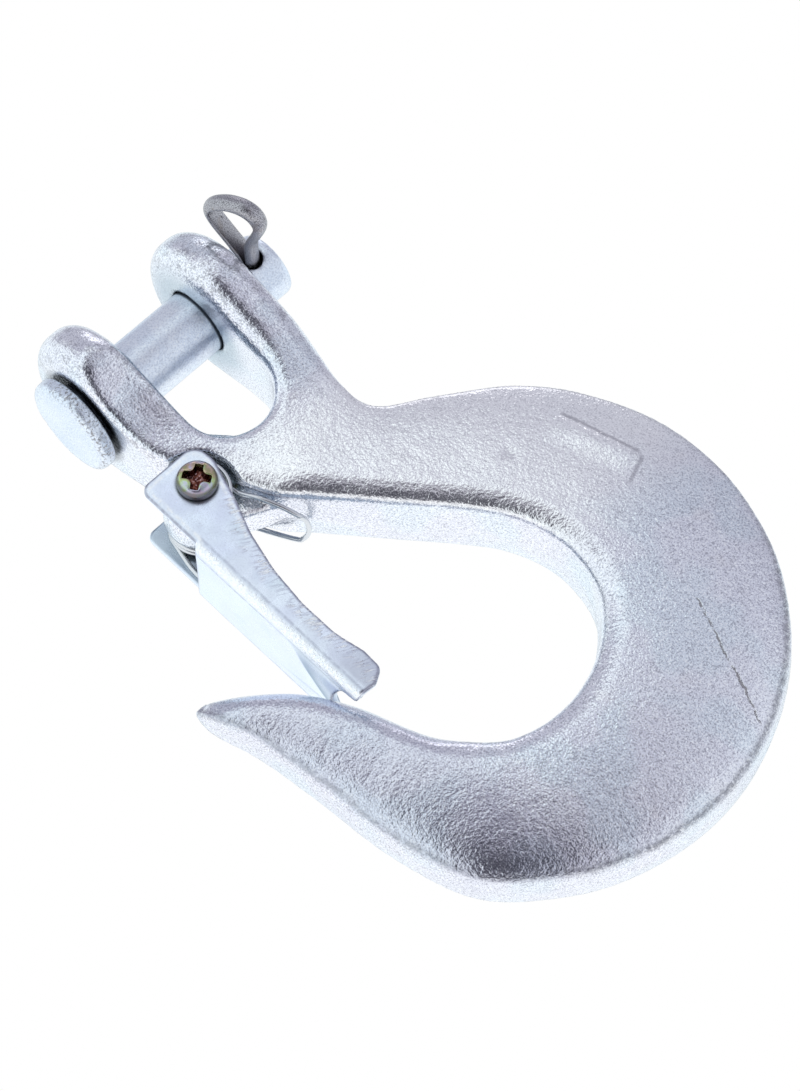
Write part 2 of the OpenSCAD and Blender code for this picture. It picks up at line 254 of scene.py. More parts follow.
# ---------------------------------------------------------------- fields to meshes
def grid(box, margin, step):
    """Origin of a sampling grid round a box, and its x, y and z ready to broadcast."""
    low, high = box[0] - margin, box[1] + margin
    count = np.ceil((high - low) / step).astype(int) + 1
    x, y, z = (low[a] + step * np.arange(count[a]) for a in range(3))
    return low, x[:, None, None], y[None, :, None], z[None, None, :]


def pivot_grid(box, margin, step):
    """Grid with x and z measured from the latch pivot, and the distance from its axis."""
    origin, x, y, z = grid(box, margin, step)
    x, z = x - PIVOT[0], z - PIVOT[2]
    return origin, x, y, z, np.hypot(x, z)


def sample(values, points, origin, step):
    """Values of a grid at points."""
    place = np.clip((points - origin) / step, 0, np.array(values.shape[:3]) - 1.001)
    cell = place.astype(int)
    total = 0
    for corner in CORNERS:
        weight = corner_weight(place - cell, corner)
        found = values[tuple((cell + np.array(corner)).T)]
        total = total + (weight[:, None] * found if found.ndim == 2 else weight * found)
    return total


def surface(field, origin, step):
    """Closed quad mesh of a field's zero surface, its vertices pulled onto the surface.
    Gives vertices, quads, outward normals and how sharply the surface bends."""
    inside = field < 0
    count = np.zeros([size - 1 for size in field.shape], np.int8)
    for corner in CORNERS:
        count += inside[tuple(slice(c, size - 1 + c) for c, size in zip(corner, field.shape))]
    live = (count > 0) & (count < 8)
    index = np.full(live.shape, -1, np.int64)
    index[live] = np.arange(live.sum())
    cell = np.argwhere(live)

    # each vertex starts at the mean of the crossings on its cell's edges
    total = np.zeros((len(cell), 3))
    crossings = np.zeros(len(cell))
    values = {corner: field[tuple((cell + np.array(corner)).T)] for corner in CORNERS}
    for axis, u, v in product(range(3), (0, 1), (0, 1)):
        start, end = [u, v], [u, v]
        start.insert(axis, 0)
        end.insert(axis, 1)
        first, second = values[tuple(start)], values[tuple(end)]
        crossed = (first < 0) != (second < 0)
        t = np.where(crossed, first / np.where(crossed, first - second, 1), 0)
        point = np.array(start, float) + t[:, None] * (np.array(end) - np.array(start))
        total[crossed] += point[crossed]
        crossings[crossed] += 1
    points = (cell + total / crossings[:, None]) * step + origin

    # one quad round every grid edge that crosses the surface
    quads = []
    unit = np.eye(3, dtype=int)
    for axis in range(3):
        before, after = [slice(1, -1)] * 3, [slice(1, -1)] * 3
        before[axis], after[axis] = slice(None, -1), slice(1, None)
        u, v = unit[(axis + 1) % 3], unit[(axis + 2) % 3]
        at = np.argwhere(inside[tuple(before)] != inside[tuple(after)]) + u + v
        quad = np.stack([index[tuple(c.T)] for c in (at - u - v, at - v, at, at - u)], 1)
        flip = ~inside[tuple(at.T)]
        quad[flip] = quad[flip][:, ::-1]
        quads.append(quad)

    slope = np.stack(np.gradient(field, step), -1)
    for _ in range(3):
        value = sample(field, points, origin, step)
        uphill = sample(slope, points, origin, step)
        steepness = np.maximum((uphill * uphill).sum(1), 0.2)
        move = -(value / steepness)[:, None] * uphill
        length = np.linalg.norm(move, axis=1, keepdims=True)
        points = points + move * np.minimum(1, 0.5 * step / np.maximum(length, 1e-9))
    uphill = sample(slope, points, origin, step)
    normals = uphill / np.maximum(np.linalg.norm(uphill, axis=1, keepdims=True), 1e-9)
    bending = sum(np.gradient(np.gradient(field, step, axis=a), step, axis=a) for a in range(3))
    return points, np.concatenate(quads), normals, sample(bending, points, origin, step)


def build(name, body, node, vertices, faces, material, marks):
    """A mesh in mm becomes a named piece that stands for its CAD node."""
    mesh = bpy.data.meshes.new(name)
    if isinstance(faces, np.ndarray):
        sides = faces.shape[1]
        mesh.vertices.add(len(vertices))
        mesh.vertices.foreach_set("co", (vertices * MM).astype(np.float32).ravel())
        mesh.loops.add(faces.size)
        mesh.loops.foreach_set("vertex_index", faces.astype(np.int32).ravel())
        mesh.polygons.add(len(faces))
        starts = np.arange(0, faces.size, sides, dtype=np.int32)
        mesh.polygons.foreach_set("loop_start", starts)
    else:
        mesh.from_pydata([tuple(point) for point in vertices * MM], [], faces)
    mesh.update(calc_edges=True)
    mesh.polygons.foreach_set("use_smooth", np.ones(len(mesh.polygons), bool))
    for key, values in marks.items():
        attribute = mesh.attributes.new(key, "FLOAT", "POINT")
        attribute.data.foreach_set("value", np.asarray(values, np.float32))
    mesh.materials.append(material)
    piece = bpy.data.objects.new(name, mesh)
    bpy.context.scene.collection.objects.link(piece)
    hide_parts(node)
    if body:
        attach(piece, body)
    return piece


# ---------------------------------------------------------------- node tools
class Value:
    """A node output that can be added, subtracted and multiplied."""

    def __init__(self, graph, socket):
        self.graph = graph
        self.socket = socket

    def __add__(self, other):
        return self.graph.math("ADD", self, other)

    def __sub__(self, other):
        return self.graph.math("SUBTRACT", self, other)

    def __rsub__(self, other):
        return self.graph.math("SUBTRACT", other, self)

    def __mul__(self, other):
        return self.graph.math("MULTIPLY", self, other)


class Graph:
    """Short ways to add nodes to a tree; color is the colour built up so far."""

    def __init__(self, tree):
        self.tree = tree
        tree.nodes.clear()

    def add(self, kind, *values, settings=None, **named):
        """New node; values fill its inputs in order, named ones by name with _ for a space."""
        node = self.tree.nodes.new(kind)
        for key, setting in (settings or {}).items():
            setattr(node, key, setting)
        inputs = dict(enumerate(values))
        inputs.update((key.replace("_", " "), given) for key, given in named.items())
        for key, given in inputs.items():
            socket = node.inputs[key]
            if isinstance(given, Value):
                self.tree.links.new(given.socket, socket)
            elif given is not None:
                if isinstance(given, tuple) and len(given) < len(socket.default_value):
                    given = (*given, 1)
                socket.default_value = given
        return node

    def value(self, kind, *values, output=0, **rest):
        return Value(self, self.add(kind, *values, **rest).outputs[output])

    @cached_property
    def position(self):
        return self.value("ShaderNodeTexCoord", output="Object")

    def math(self, operation, *values):
        return self.value("ShaderNodeMath", *values, settings={"operation": operation})

    def vector(self, operation, *values, output=0):
        return self.value("ShaderNodeVectorMath", *values, output=output,
                          settings={"operation": operation})

    def ramp(self, value, span, to=(0.0, 1.0), kind="SMOOTHSTEP"):
        return self.value("ShaderNodeMapRange", value, *span, *to,
                          settings={"interpolation_type": kind})

    def ramp_mm(self, value, span, to=(0.0, 1.0)):
        """Ramp whose span is in mm."""
        return self.ramp(value, (span[0] * MM, span[1] * MM), to)

    def noise(self, size, detail=2.0, rough=0.5, shift=0.0, at=None):
        """Noise with features of the given size in mm."""
        at = at or self.position
        if shift:
            at = self.vector("ADD", at, (shift, shift * 0.7, -shift))
        return self.value("ShaderNodeTexNoise", Vector=at, Scale=1.0 / (size * MM),
                          Detail=detail, Roughness=rough)

    def patches(self, span, to=(0.0, 1.0), **noise):
        return self.ramp(self.noise(**noise), span, to)

    def mix(self, amount, base, color):
        return self.value("ShaderNodeMix", amount, *[None] * 5, base, color, output=2,
                          settings={"data_type": "RGBA"})

    def coat(self, color, amount):
        """Lays a colour over what is there."""
        self.color = self.mix(amount, self.color, color)

    def mottle(self, size, one, two):
        """Starts the colour as a broad mix of two."""
        self.color = self.mix(self.patches(size=size, span=(0.35, 0.65)), one, two)

    def coat_grazing(self, color, span, amount):
        """Lays a colour where the surface is seen edge on: painted shade that darkens the outline."""
        facing = self.value("ShaderNodeLayerWeight", output="Facing", Blend=0.5)
        self.coat(color, self.ramp(facing, span, to=(0.0, amount)))

    def marks(self, *names):
        return [self.value("ShaderNodeAttribute", output="Fac",
                           settings={"attribute_name": name}) for name in names]

    def split(self, vector):
        node = self.add("ShaderNodeSeparateXYZ", vector)
        return [Value(self, socket) for socket in node.outputs]

    def join(self, *parts):
        return self.value("ShaderNodeCombineXYZ", *parts)


class Material(Graph):
    def __init__(self, name):
        self.material = bpy.data.materials.new(name)
        self.material.use_nodes = True
        super().__init__(self.material.node_tree)

    def roughness(self, value, low, high):
        return self.ramp(value, span=(0.3, 0.7), to=(low, high), kind="LINEAR")

    def output(self, shader):
        self.add("ShaderNodeOutputMaterial", Surface=shader)
        return self.material

    def finish(self, roughness, height, depth, metal=1.0, **more):
        """Principled surface in the built-up colour, with bumps of the given depth in mm."""
        normal = self.value("ShaderNodeBump", Strength=1.0, Distance=depth * MM, Height=height)
        return self.output(self.value("ShaderNodeBsdfPrincipled", Base_Color=self.color,
                                      Roughness=roughness, Metallic=metal, Normal=normal, **more))


# ---------------------------------------------------------------- materials
def front_face(mat, y):
    """1 on the hook's -Y side."""
    return mat.ramp_mm(y, span=(-3, -4))


def line_mark(mat, start, end, width, fade_in, fade_out, reach, **waver):
    """Wavering line on the hook's -Y face between two (x, z) places, all in mm.
    Both fades are along the line, the second measured from its end."""
    x, y, z = mat.split(mat.position)
    length = math.dist(start, end)
    run_x, run_z = (end[0] - start[0]) / length, (end[1] - start[1]) / length
    x, z = x - start[0] * MM, z - start[1] * MM
    along = x * run_x + z * run_z
    drift = (mat.noise(**waver) - 0.5) * (reach * MM)
    across = mat.math("ABSOLUTE", x * run_z - z * run_x + drift)
    begin = mat.ramp_mm(along, span=fade_in)
    finish = mat.ramp_mm(along, span=[length + place for place in fade_out], to=(1.0, 0.0))
    return mat.ramp_mm(across, span=width, to=(1.0, 0.0)) * (begin * finish) * front_face(mat, y)


def forging_material():
    mat = Material("forging_zinc")
    x, y, z = mat.split(mat.position)
    edge, soft, crevice_shade = mat.marks("edge", "soft", "crev")
    speck = mat.noise(size=0.27, detail=1, rough=0.6, shift=0.77)
    mat.mottle(16, (0.79, 0.80, 0.88), (0.83, 0.84, 0.91))
    mat.coat((0.73, 0.83, 0.90), mat.patches(size=9, detail=1, shift=0.7, span=(0.46, 0.62)) * 0.50)
    mat.coat((0.84, 0.81, 0.80), mat.patches(size=5, shift=1.3, span=(0.60, 0.74)) * 0.22)
    # painted light, slightly warm, down the shank and round the pad, painted shade on the tip, mostly on
    # the flat faces
    painted_shade = mat.ramp_mm(x, span=(-12, -21)) * mat.ramp_mm(z, span=(-42, -47))
    painted_light = mat.ramp_mm(z, span=(-79, -60)) * mat.ramp_mm(z, span=(-20, -30))
    painted_light = painted_light * (1.0 - painted_shade)
    facing_y = mat.split(mat.value("ShaderNodeTexCoord", output="Normal"))[1]
    flat = mat.ramp(mat.math("ABSOLUTE", facing_y), span=(0.45, 0.75))
    painted_light, painted_shade = painted_light * flat, painted_shade * mat.math("MAXIMUM", flat, 0.25)
    mat.coat((0.95, 0.94, 0.955), painted_light * 0.80)
    # painted dark reflection in blots on the rounded shoulders of the ears, a thin dark line on crisp edges
    dark_reflection_blot = soft * mat.patches(size=1.3, detail=4, rough=0.7, shift=0.9, span=(0.50, 0.62))
    mat.coat((0.24, 0.23, 0.26), dark_reflection_blot * 0.52)
    darkened_edge = edge * mat.patches(size=0.9, detail=3, rough=0.7, shift=0.9, span=(0.40, 0.60),
                              to=(0.35, 1.0))
    mat.coat((0.24, 0.24, 0.27), darkened_edge * 0.62)
    # speckle of the plated grain: dark specks in its colour, white specks as painted glints
    mat.coat((0.33, 0.33, 0.38), mat.ramp(speck, span=(0.34, 0.50), to=(0.62, 0.0)))
    mat.coat((0.98, 0.99, 1.0), mat.ramp(speck, span=(0.54, 0.68), to=(0.0, 0.75)))
    # more painted shade on the tip and painted light down the shank and round the pad
    mat.coat((0.43, 0.42, 0.54), painted_shade * 0.34)
    mat.coat((1.0, 0.995, 1.0), painted_light * 0.40)
    # painted dark reflection in a broken line inside the rim, painted shade in crevices
    broken = mat.patches(size=0.8, detail=3, rough=0.7, shift=3.3, span=(0.38, 0.54),
                         to=(0.25, 1.0))
    mat.coat((0.12, 0.12, 0.14), mat.marks("rimline")[0] * (broken * 0.85))
    mat.coat((0.035, 0.04, 0.055), crevice_shade * 0.88)
    # painted shade darkens the outline where the surface is seen edge on
    mat.coat_grazing((0.25, 0.25, 0.30), span=(0.84, 0.99), amount=0.7)
    # forging lap on the flat face
    lap = line_mark(mat, (26.4, -89.5), (18.6, -110.8), width=(0.06, 0.26), fade_in=(-0.4, 1.0),
                    fade_out=(-1.5, 0.0), reach=1.6, size=2.2, detail=3, rough=0.7, shift=2.1)
    lap = lap * mat.patches(size=0.8, shift=1.9, span=(0.34, 0.48))
    mat.coat((0.24, 0.22, 0.23), lap * 0.8)
    # shadow line along the pad's +X edge and its lower edge: start, end, width, strength
    for start, end, width, strength in (
            ((34.25, -53.3), (38.25, -66.9), (0.09, 0.48), 0.55),
            ((38.1, -67.3), (32.6, -69.6), (0.102, 0.544), 0.5)):
        shadow = line_mark(mat, start, end, width, fade_in=(-0.2, 0.8), fade_out=(-1.0, 0.3),
                           reach=0.5, size=1.6, rough=0.6, shift=2.7)
        mat.coat((0.30, 0.29, 0.33), shadow * strength)
    # small round dimple by the pad
    offset = mat.vector("SUBTRACT", mat.position, (23.1 * MM, 0, -53.2 * MM))
    offset = mat.vector("MULTIPLY", offset, (1, 0, 1))
    dimple = mat.ramp_mm(mat.vector("LENGTH", offset, output="Value"), span=(0.3, 1.6),
                         to=(0.22, 0.0))
    mat.coat((0.36, 0.35, 0.40), dimple * front_face(mat, y))
    mat.coat((0.30, 0.40, 0.47), mat.marks("shade")[0] * 0.62)
    roughness = mat.roughness(mat.noise(size=3.2, detail=3, rough=0.6, shift=0.31), 0.17, 0.23)
    height = (mat.noise(size=0.42, detail=1, shift=0.17) * 0.42
              + mat.noise(size=0.22, detail=0, shift=0.11) * 0.13
              + mat.noise(size=0.95, detail=1, shift=0.43) * 0.42
              - mat.patches(size=1.1, shift=0.53, span=(0.60, 0.70)) * 0.10
              - lap * 0.7)
    return mat.finish(roughness + darkened_edge * 0.10, height, depth=0.15)


def pin_material():
    mat = Material("pin_zinc")
    x, y, z = mat.split(mat.position)
    edge, crevice_shade = mat.marks("edge", "crev")
    grain = mat.noise(size=0.5, detail=3, rough=0.6, shift=0.2)
    speck = mat.noise(size=0.27, detail=1, rough=0.6, shift=0.77)
    mat.mottle(7, (0.74, 0.81, 0.92), (0.82, 0.87, 0.95))
    # speckle of the plated grain: dark specks in its colour, white specks as painted glints
    mat.coat((0.36, 0.38, 0.44), mat.ramp(speck, span=(0.34, 0.50), to=(0.35, 0.0)))
    mat.coat((0.95, 0.98, 1.0), mat.ramp(speck, span=(0.54, 0.68), to=(0.0, 0.6)))
    # wear round the head's edge, most of it below and towards -Y
    low = mat.ramp_mm(y * -0.6 + z * -0.8, span=(-6, 6), to=(0.25, 1.0))
    darkened_edge = edge * low * mat.patches(size=0.5, detail=3, rough=0.7, shift=0.9, span=(0.52, 0.62))
    mat.coat((0.20, 0.16, 0.14), darkened_edge * 0.70)
    # painted shade under the head, at the ears and round the cotter's hole
    mat.coat((0.03, 0.035, 0.05), crevice_shade * 0.9)
    # painted shade darkens the outline where the surface is seen edge on
    mat.coat_grazing((0.22, 0.24, 0.29), span=(0.82, 0.99), amount=0.75)
    # faint turning rings round the shaft
    rings = mat.noise(size=1.2, at=mat.join(x * 5.0, y * 0.6, z * 0.6))
    height = grain * 0.5 + rings * 0.10 - darkened_edge * 0.4
    return mat.finish(mat.roughness(grain, 0.30, 0.42), height, depth=0.12)


def latch_material():
    mat = Material("latch_zinc")
    x, y, z = mat.split(mat.position)
    edge, low, end, line, ridge, inside, crevice_shade, free, hem = mat.marks(
        "edge", "low", "end", "line", "ridge", "inside", "crev", "free", "hem")
    mat.mottle(14, (0.79, 0.855, 0.97), (0.83, 0.89, 0.98))
    mat.coat((0.68, 0.80, 0.86), mat.patches(size=6, shift=0.4, span=(0.55, 0.72)) * 0.4)
    mat.coat((0.74, 0.77, 0.97), mat.patches(size=8, shift=2.4, span=(0.40, 0.62)) * 0.35)
    # painted dark reflection on the web near the nose, painted shade on the cheeks near the nose
    mat.coat((0.17, 0.27, 0.39), low * 0.94)
    mat.coat((0.42, 0.42, 0.51), end * 0.50)
    mat.coat((0.28, 0.28, 0.35),
             edge * mat.patches(size=0.8, shift=3.1, span=(0.30, 0.55), to=(0.55, 0.85)))
    # painted shade in thin lines either side of the bends' highlight
    mat.coat((0.42, 0.44, 0.54),
             line * mat.patches(size=1.0, shift=1.7, span=(0.35, 0.60), to=(0.25, 0.75)))
    # painted highlight along the bends over a slight bead in the bumps, painted shade on the inner faces
    # and under the screw's head
    broken = mat.patches(size=0.5, detail=3, rough=0.7, shift=2.2, span=(0.36, 0.60))
    mat.coat((0.99, 0.99, 1.0), ridge * (broken * 0.55 + 0.4))
    mat.coat((0.40, 0.48, 0.55), inside * 0.75)
    mat.coat((0.04, 0.05, 0.06), crevice_shade * 0.85)
    # short die scratches across the sheet, by the free edge
    slanted = mat.join(x * 0.16 + z * -0.10, y, z + x * 0.5)
    bright = (mat.patches(size=0.34, at=slanted, span=(0.52, 0.60))
              * mat.patches(size=3.0, detail=1, shift=1.1, span=(0.40, 0.54)) * free)
    dark = mat.patches(size=0.34, at=slanted, shift=0.9, span=(0.54, 0.62)) * free
    mat.coat((0.42, 0.43, 0.54), dark * 0.55)
    mat.coat((0.99, 1.0, 1.0), bright * 0.9)
    # painted highlight in a strip just inside the cheeks' cut edges
    mat.coat((0.99, 0.99, 1.0),
             hem * mat.patches(size=0.9, shift=1.2, span=(0.40, 0.60), to=(0.2, 0.8)))
    mat.coat((0.45, 0.48, 0.55), mat.patches(size=0.30, detail=1, rough=0.6, shift=0.77,
                                             span=(0.36, 0.50), to=(0.16, 0.0)))
    # painted shade darkens the outline where the surface is seen edge on
    mat.coat_grazing((0.25, 0.26, 0.32), span=(0.84, 0.99), amount=0.7)
    roughness = mat.roughness(mat.noise(size=2.5, detail=3, rough=0.6, shift=0.8), 0.24, 0.33)
    height = (mat.noise(size=0.35, rough=0.6) * 0.18 - bright * 1.1
              + mat.noise(size=3.0, shift=0.6) * 0.9 + ridge * broken * 0.8)
    return mat.finish(roughness + bright * 0.08, height, depth=0.05)


def wire_noise(mat, along, around, stretch, **noise):
    """Noise on a wire, drawn out along it when stretch is small."""
    return mat.noise(at=mat.join(along * stretch, around * 0.001, 0.0), **noise)


def cotter_material():
    mat = Material("cotter_steel")
    along, around = mat.marks("along", "around")
    streak = wire_noise(mat, along, around, 0.0012, size=0.16, detail=3, rough=0.6)
    mat.color = mat.mix(mat.ramp(streak, span=(0.38, 0.60)),
                        (0.155, 0.148, 0.168), (0.55, 0.54, 0.575))
    mat.coat((0.30, 0.25, 0.22), mat.patches(size=2.2, shift=0.3, span=(0.56, 0.70)) * 0.35)
    dark = mat.ramp(wire_noise(mat, along, around, 0.0022, size=0.7, detail=3, rough=0.7,
                               shift=0.005), span=(0.60, 0.68))
    mat.coat((0.06, 0.055, 0.06), dark * 0.8)
    # painted shade darkens the outline where the surface is seen edge on
    mat.coat_grazing((0.05, 0.05, 0.06), span=(0.70, 0.98), amount=0.8)
    return mat.finish(mat.roughness(streak, 0.24, 0.38), streak * 0.6 - dark * 0.5, depth=0.05)


def screw_material():
    mat = Material("screw_yellow_zinc")
    x, _, z = mat.split(mat.position)
    recess, rim, ends = mat.marks("recess", "rim", "ends")
    cloud = mat.noise(size=1.1)
    # plating colour drifts across the head: olive, straw, rose, lilac, green
    drift = cloud * 1.5 + ((x - PIVOT[0] * MM) + (z - PIVOT[2] * MM)) * 110.0
    tints = mat.add("ShaderNodeValToRGB", mat.math("FRACT", drift + 0.15))
    stops = tints.color_ramp.elements
    for stop, place in zip(stops, (0.0, 1.0)):
        stop.position = place
        stop.color = (0.42, 0.38, 0.22, 1)
    for place, color in ((0.22, (0.60, 0.46, 0.38)), (0.42, (0.58, 0.50, 0.64)),
                         (0.60, (0.50, 0.54, 0.60)), (0.80, (0.44, 0.56, 0.26))):
        stops.new(place).color = (*color, 1)
    mat.color = Value(mat, tints.outputs[0])
    # painted shade on the side of the head, round its rim
    mat.coat((0.10, 0.09, 0.08), rim * 0.80)
    # painted shade in the cross recess, with painted pink glints
    deep = mat.mix(mat.patches(size=0.5, shift=0.4, span=(0.45, 0.6)),
                   (0.055, 0.012, 0.010), (0.16, 0.06, 0.045))
    deep = mat.mix(mat.patches(size=0.32, shift=0.9, span=(0.56, 0.66)) * 0.6, deep,
                   (0.55, 0.36, 0.38))
    mat.coat(deep, recess)
    mat.coat((0.36, 0.44, 0.14), ends * 0.8)
    height = mat.noise(size=0.25, rough=0.6) * 0.3
    return mat.finish(mat.roughness(cloud, 0.16, 0.28), height, depth=0.04)


def nut_material():
    mat = Material("nut_zinc")
    mat.mottle(2.5, (0.68, 0.73, 0.80), (0.80, 0.82, 0.85))
    mat.coat((0.48, 0.47, 0.46), mat.marks("edge")[0] * 0.35)
    return mat.finish(mat.roughness(mat.noise(size=0.7), 0.24, 0.36),
                      mat.noise(size=0.3, detail=3, rough=0.6), depth=0.05)


def insert_material():
    mat = Material("insert_nylon")
    mat.mottle(1.0, (0.05, 0.13, 0.42), (0.08, 0.19, 0.52))
    return mat.finish(mat.roughness(mat.noise(size=0.4), 0.38, 0.5), mat.noise(size=0.25),
                      depth=0.04, metal=0.0, Subsurface_Weight=0.1)


def spring_material():
    mat = Material("spring_wire")
    streak = wire_noise(mat, *mat.marks("along", "around"), 0.0006, size=0.10, rough=0.6)
    mat.color = mat.mix(mat.ramp(streak, span=(0.3, 0.7)), (0.60, 0.62, 0.65), (0.74, 0.75, 0.77))
    return mat.finish(mat.roughness(streak, 0.16, 0.26), streak, depth=0.012)


# ---------------------------------------------------------------- hook forging
# outer edge x, z, inner edge x, z, then the half thickness at the inner edge as a share of
# SHANK and at the outer edge as a share of RIM; from the clevis round the bowl to the tip
HOOK_ROWS = [
    (16.4, 8.0, -16.4, 8.0, 1.00, 1.68),
    (16.5, -10.0, -16.4, -10.0, 1.00, 1.68), (15.8, -17.5, -15.0, -17.5, 1.00, 1.64),
    (13.9, -25.8, -10.4, -25.5, 1.00, 1.58), (15.0, -32.2, -7.1, -33.0, 1.00, 1.50),
    (22.8, -37.2, -3.4, -37.4, 1.00, 1.38), (33.6, -44.6, 4.0, -46.1, 1.00, 1.20),
    (41.4, -54.8, 10.9, -54.1, 1.00, 1.08), (45.6, -66.3, 15.9, -61.2, 1.00, 1.00),
    (45.8, -79.3, 18.2, -69.4, 1.00, 1.00), (41.3, -93.0, 16.8, -77.7, 1.00, 1.00),
    (31.4, -105.3, 12.0, -83.5, 1.00, 1.00), (17.5, -113.0, 5.4, -87.0, 1.00, 1.00),
    (3.2, -115.0, -2.0, -88.0, 1.00, 1.00), (-10.9, -112.0, -9.2, -86.2, 0.99, 0.98),
    (-22.0, -105.3, -14.0, -82.1, 0.97, 0.95), (-29.3, -97.3, -16.9, -78.0, 0.93, 0.90),
    (-33.1, -84.5, -19.1, -72.4, 0.86, 0.90), (-34.5, -71.0, -21.5, -65.8, 0.80, 0.92),
    (-36.1, -60.0, -25.7, -58.4, 0.72, 0.94), (-38.0, -53.4, -31.3, -52.8, 0.64, 0.92),
    (-38.7, -50.2, -35.4, -49.9, 0.50, 0.78), (-38.4, -48.8, -36.8, -48.7, 0.24, 0.40)]
ROW_STEPS = 6
# web that ties the lug to the shank (x, z)
LUG_WEB = [(-15.6, -14), (-15.6, PIVOT[2]), (-18.2, -28.4), (-14, -30.1), (-4.5, -34.6), (0, -34),
           (0, -23), (-8, -14)]
# raised pad on the -Y face (x, z, corner radius)
PAD = [(33.8, -53.6, 0.5), (37.7, -66.7, 0.5), (32.3, -69.0, 0.7), (28.2, -55.6, 0.7)]
# half of the clevis below its round top, seen along the pin (y, z)
CLEVIS_SIDE = [(11.5, -7.4), (10.2, -11.8), (9.0, -16.2), (8.1, -20.6), (7.75, -25.0),
               (7.7, -45.0)]
# ends of the round seat on the tip (x, z)
SEAT_START, SEAT_END = np.array([-24.43, -63.26]), np.array([-22.37, -67.14])


def pad_height(x, z):
    """Pad height over the -Y face, fading towards -X, with a small dimple beside it."""
    pad = inside_of(x, z, outline(PAD))
    sideways = ((x - 33.8) * -5.6 + (z + 53.6) * -2.0) / 5.95
    down = ((x - 33.8) * 3.9 + (z + 53.6) * -13.1) / 13.67
    height = 0.46 * ease(0.22, -0.30, pad) * ease(5.6, 1.2, sideways)
    height = height * (0.4 + 0.6 * ease(0.0, 9.0, down))
    return height - 0.16 * np.exp(-((x - 23.1) ** 2 + (z + 53.2) ** 2) / 1.3)


def hook_field(x, y, z, outer, inner, rows):
    to_outer, outer_at = to_line(x, z, outer)
    to_inner, inner_at = to_line(x, z, inner)
    knots = np.arange(len(rows))
    inner_half = np.interp(inner_at, knots, rows[:, 4]) * SHANK
    outer_half = np.interp(outer_at, knots, rows[:, 5]) * RIM
    across = to_inner / np.maximum(to_inner + to_outer, 1e-6)
    half = inner_half + (outer_half - inner_half) * across ** 2.4
    # the face rolls over towards the inner edge, and towards the rim at the bottom of the bowl
    half = half - 1.4 * np.maximum(0, 1 - to_inner / 4.3) ** 1.7 * ease(-22, -32, z)
    station = outer_at / ROW_STEPS
    droop = np.interp(station, [0, 5, 9, 12, 14, 18, 20, 22],
                      [0.2, 0.2, 0.2, 0.22, 0.25, 0.3, 0.3, 0.2])
    roll = np.interp(station, [0, 9, 11.5, 13, 18, 20, 22],
                     [0.0, 0.05, 0.42, 0.62, 0.55, 0.3, 0.1])
    half = (half - droop * np.maximum(0, 1 - to_outer / 6.0) ** 2
            - roll * np.maximum(0, 1 - to_outer / 3.6) ** 2)

    # silhouette seen along Y, drawn in slightly with distance from the middle plane
    ring = np.concatenate([[[16.4, 20.0]], outer, inner[::-1], [[-16.4, 20.0]]])
    depth = np.abs(y)
    draft = ease(-20.0, -34.0, z) * (1 - 0.7 * ease(-10.0, -18.0, x))
    silhouette = inside_of(x, z, ring) + (0.07 * depth) * draft

    # faces: the clevis profile above, the bowl's thickness below
    top = [(EAR_R * math.sin(q), EAR_R * math.cos(q)) for q in np.radians(np.linspace(0, 105.4, 24))]
    profile = top + CLEVIS_SIDE
    clevis = inside_of(y, z, np.array(profile + [(-p[0], p[1]) for p in profile[::-1]]))
    below = ease(-20.0, -27.0, z)
    faces = depth - (half + pad_height(x, z) * (y < 0))
    faces = below * faces + (1 - below) * clevis

    # edge radius: soft shoulders on the ears, fuller on the inner wall, crisp at the rim
    radius = 1.0 * (1 - across) + 0.6 * across
    tip = ease(-14.0, -19.0, x) * ease(-86.0, -78.0, z)
    radius = radius * (1 - tip) + (2.4 - 1.5 * ease(0.45, 0.8, across)) * tip
    radius = np.minimum(radius, 0.75 * np.minimum(half, (to_inner + to_outer) / 2 + 0.3))
    up = ease(-29.0, -17.0, z)
    field = round_max(silhouette, faces, radius * (1 - up) + 4.0 * up)

    # jaw between the ears
    jaw = np.where(z > -14.8, np.abs(x), np.hypot(x, z + 14.8)) - EAR_IN
    field = round_max(field, -jaw, 2.3 + 1.5 * ease(-19.0, -10.0, z))

    # seat on the tip
    edge = SEAT_END - SEAT_START
    t = part_along(x, z, SEAT_START, edge)
    seat = np.hypot(np.hypot(x - SEAT_START[0] - t * edge[0], z - SEAT_START[1] - t * edge[1]),
                    np.maximum(depth - 0.3, 0)) - 1.9
    field = blend_min(field, seat, 1.6)

    # wide dish and deeper well on each side of the lug
    from_pivot = np.hypot(x - PIVOT[0], z - PIVOT[2])
    well = round_max(from_pivot - np.interp(depth, [0, 4.0, 7.0, 20.0], [5.8, 5.8, 6.3, 6.8]),
                     LUG - depth, 0.9)
    dish = np.interp(from_pivot, [0, 7.5, 9.5, 11.6, 14.0, 18.0, 60.0],
                     [6.9, 7.0, 7.18, 7.5, 8.0, 9.2, 30.0]) - depth
    field = blend_max(field, -dish, 1.4)
    field = blend_max(field, -well, 0.8)
    lug = blend_min(from_pivot - 5.7, inside_of(x, z, np.array(LUG_WEB, float)), 0.8)
    field = blend_min(field, round_max(lug, depth - LUG, 0.8), 0.9)

    # bores for the clevis pin and the latch screw
    field = blend_max(field, 5.61 - np.hypot(y, z), 0.5)
    return blend_max(field, SCREW_HOLE_R - from_pivot, 0.3)


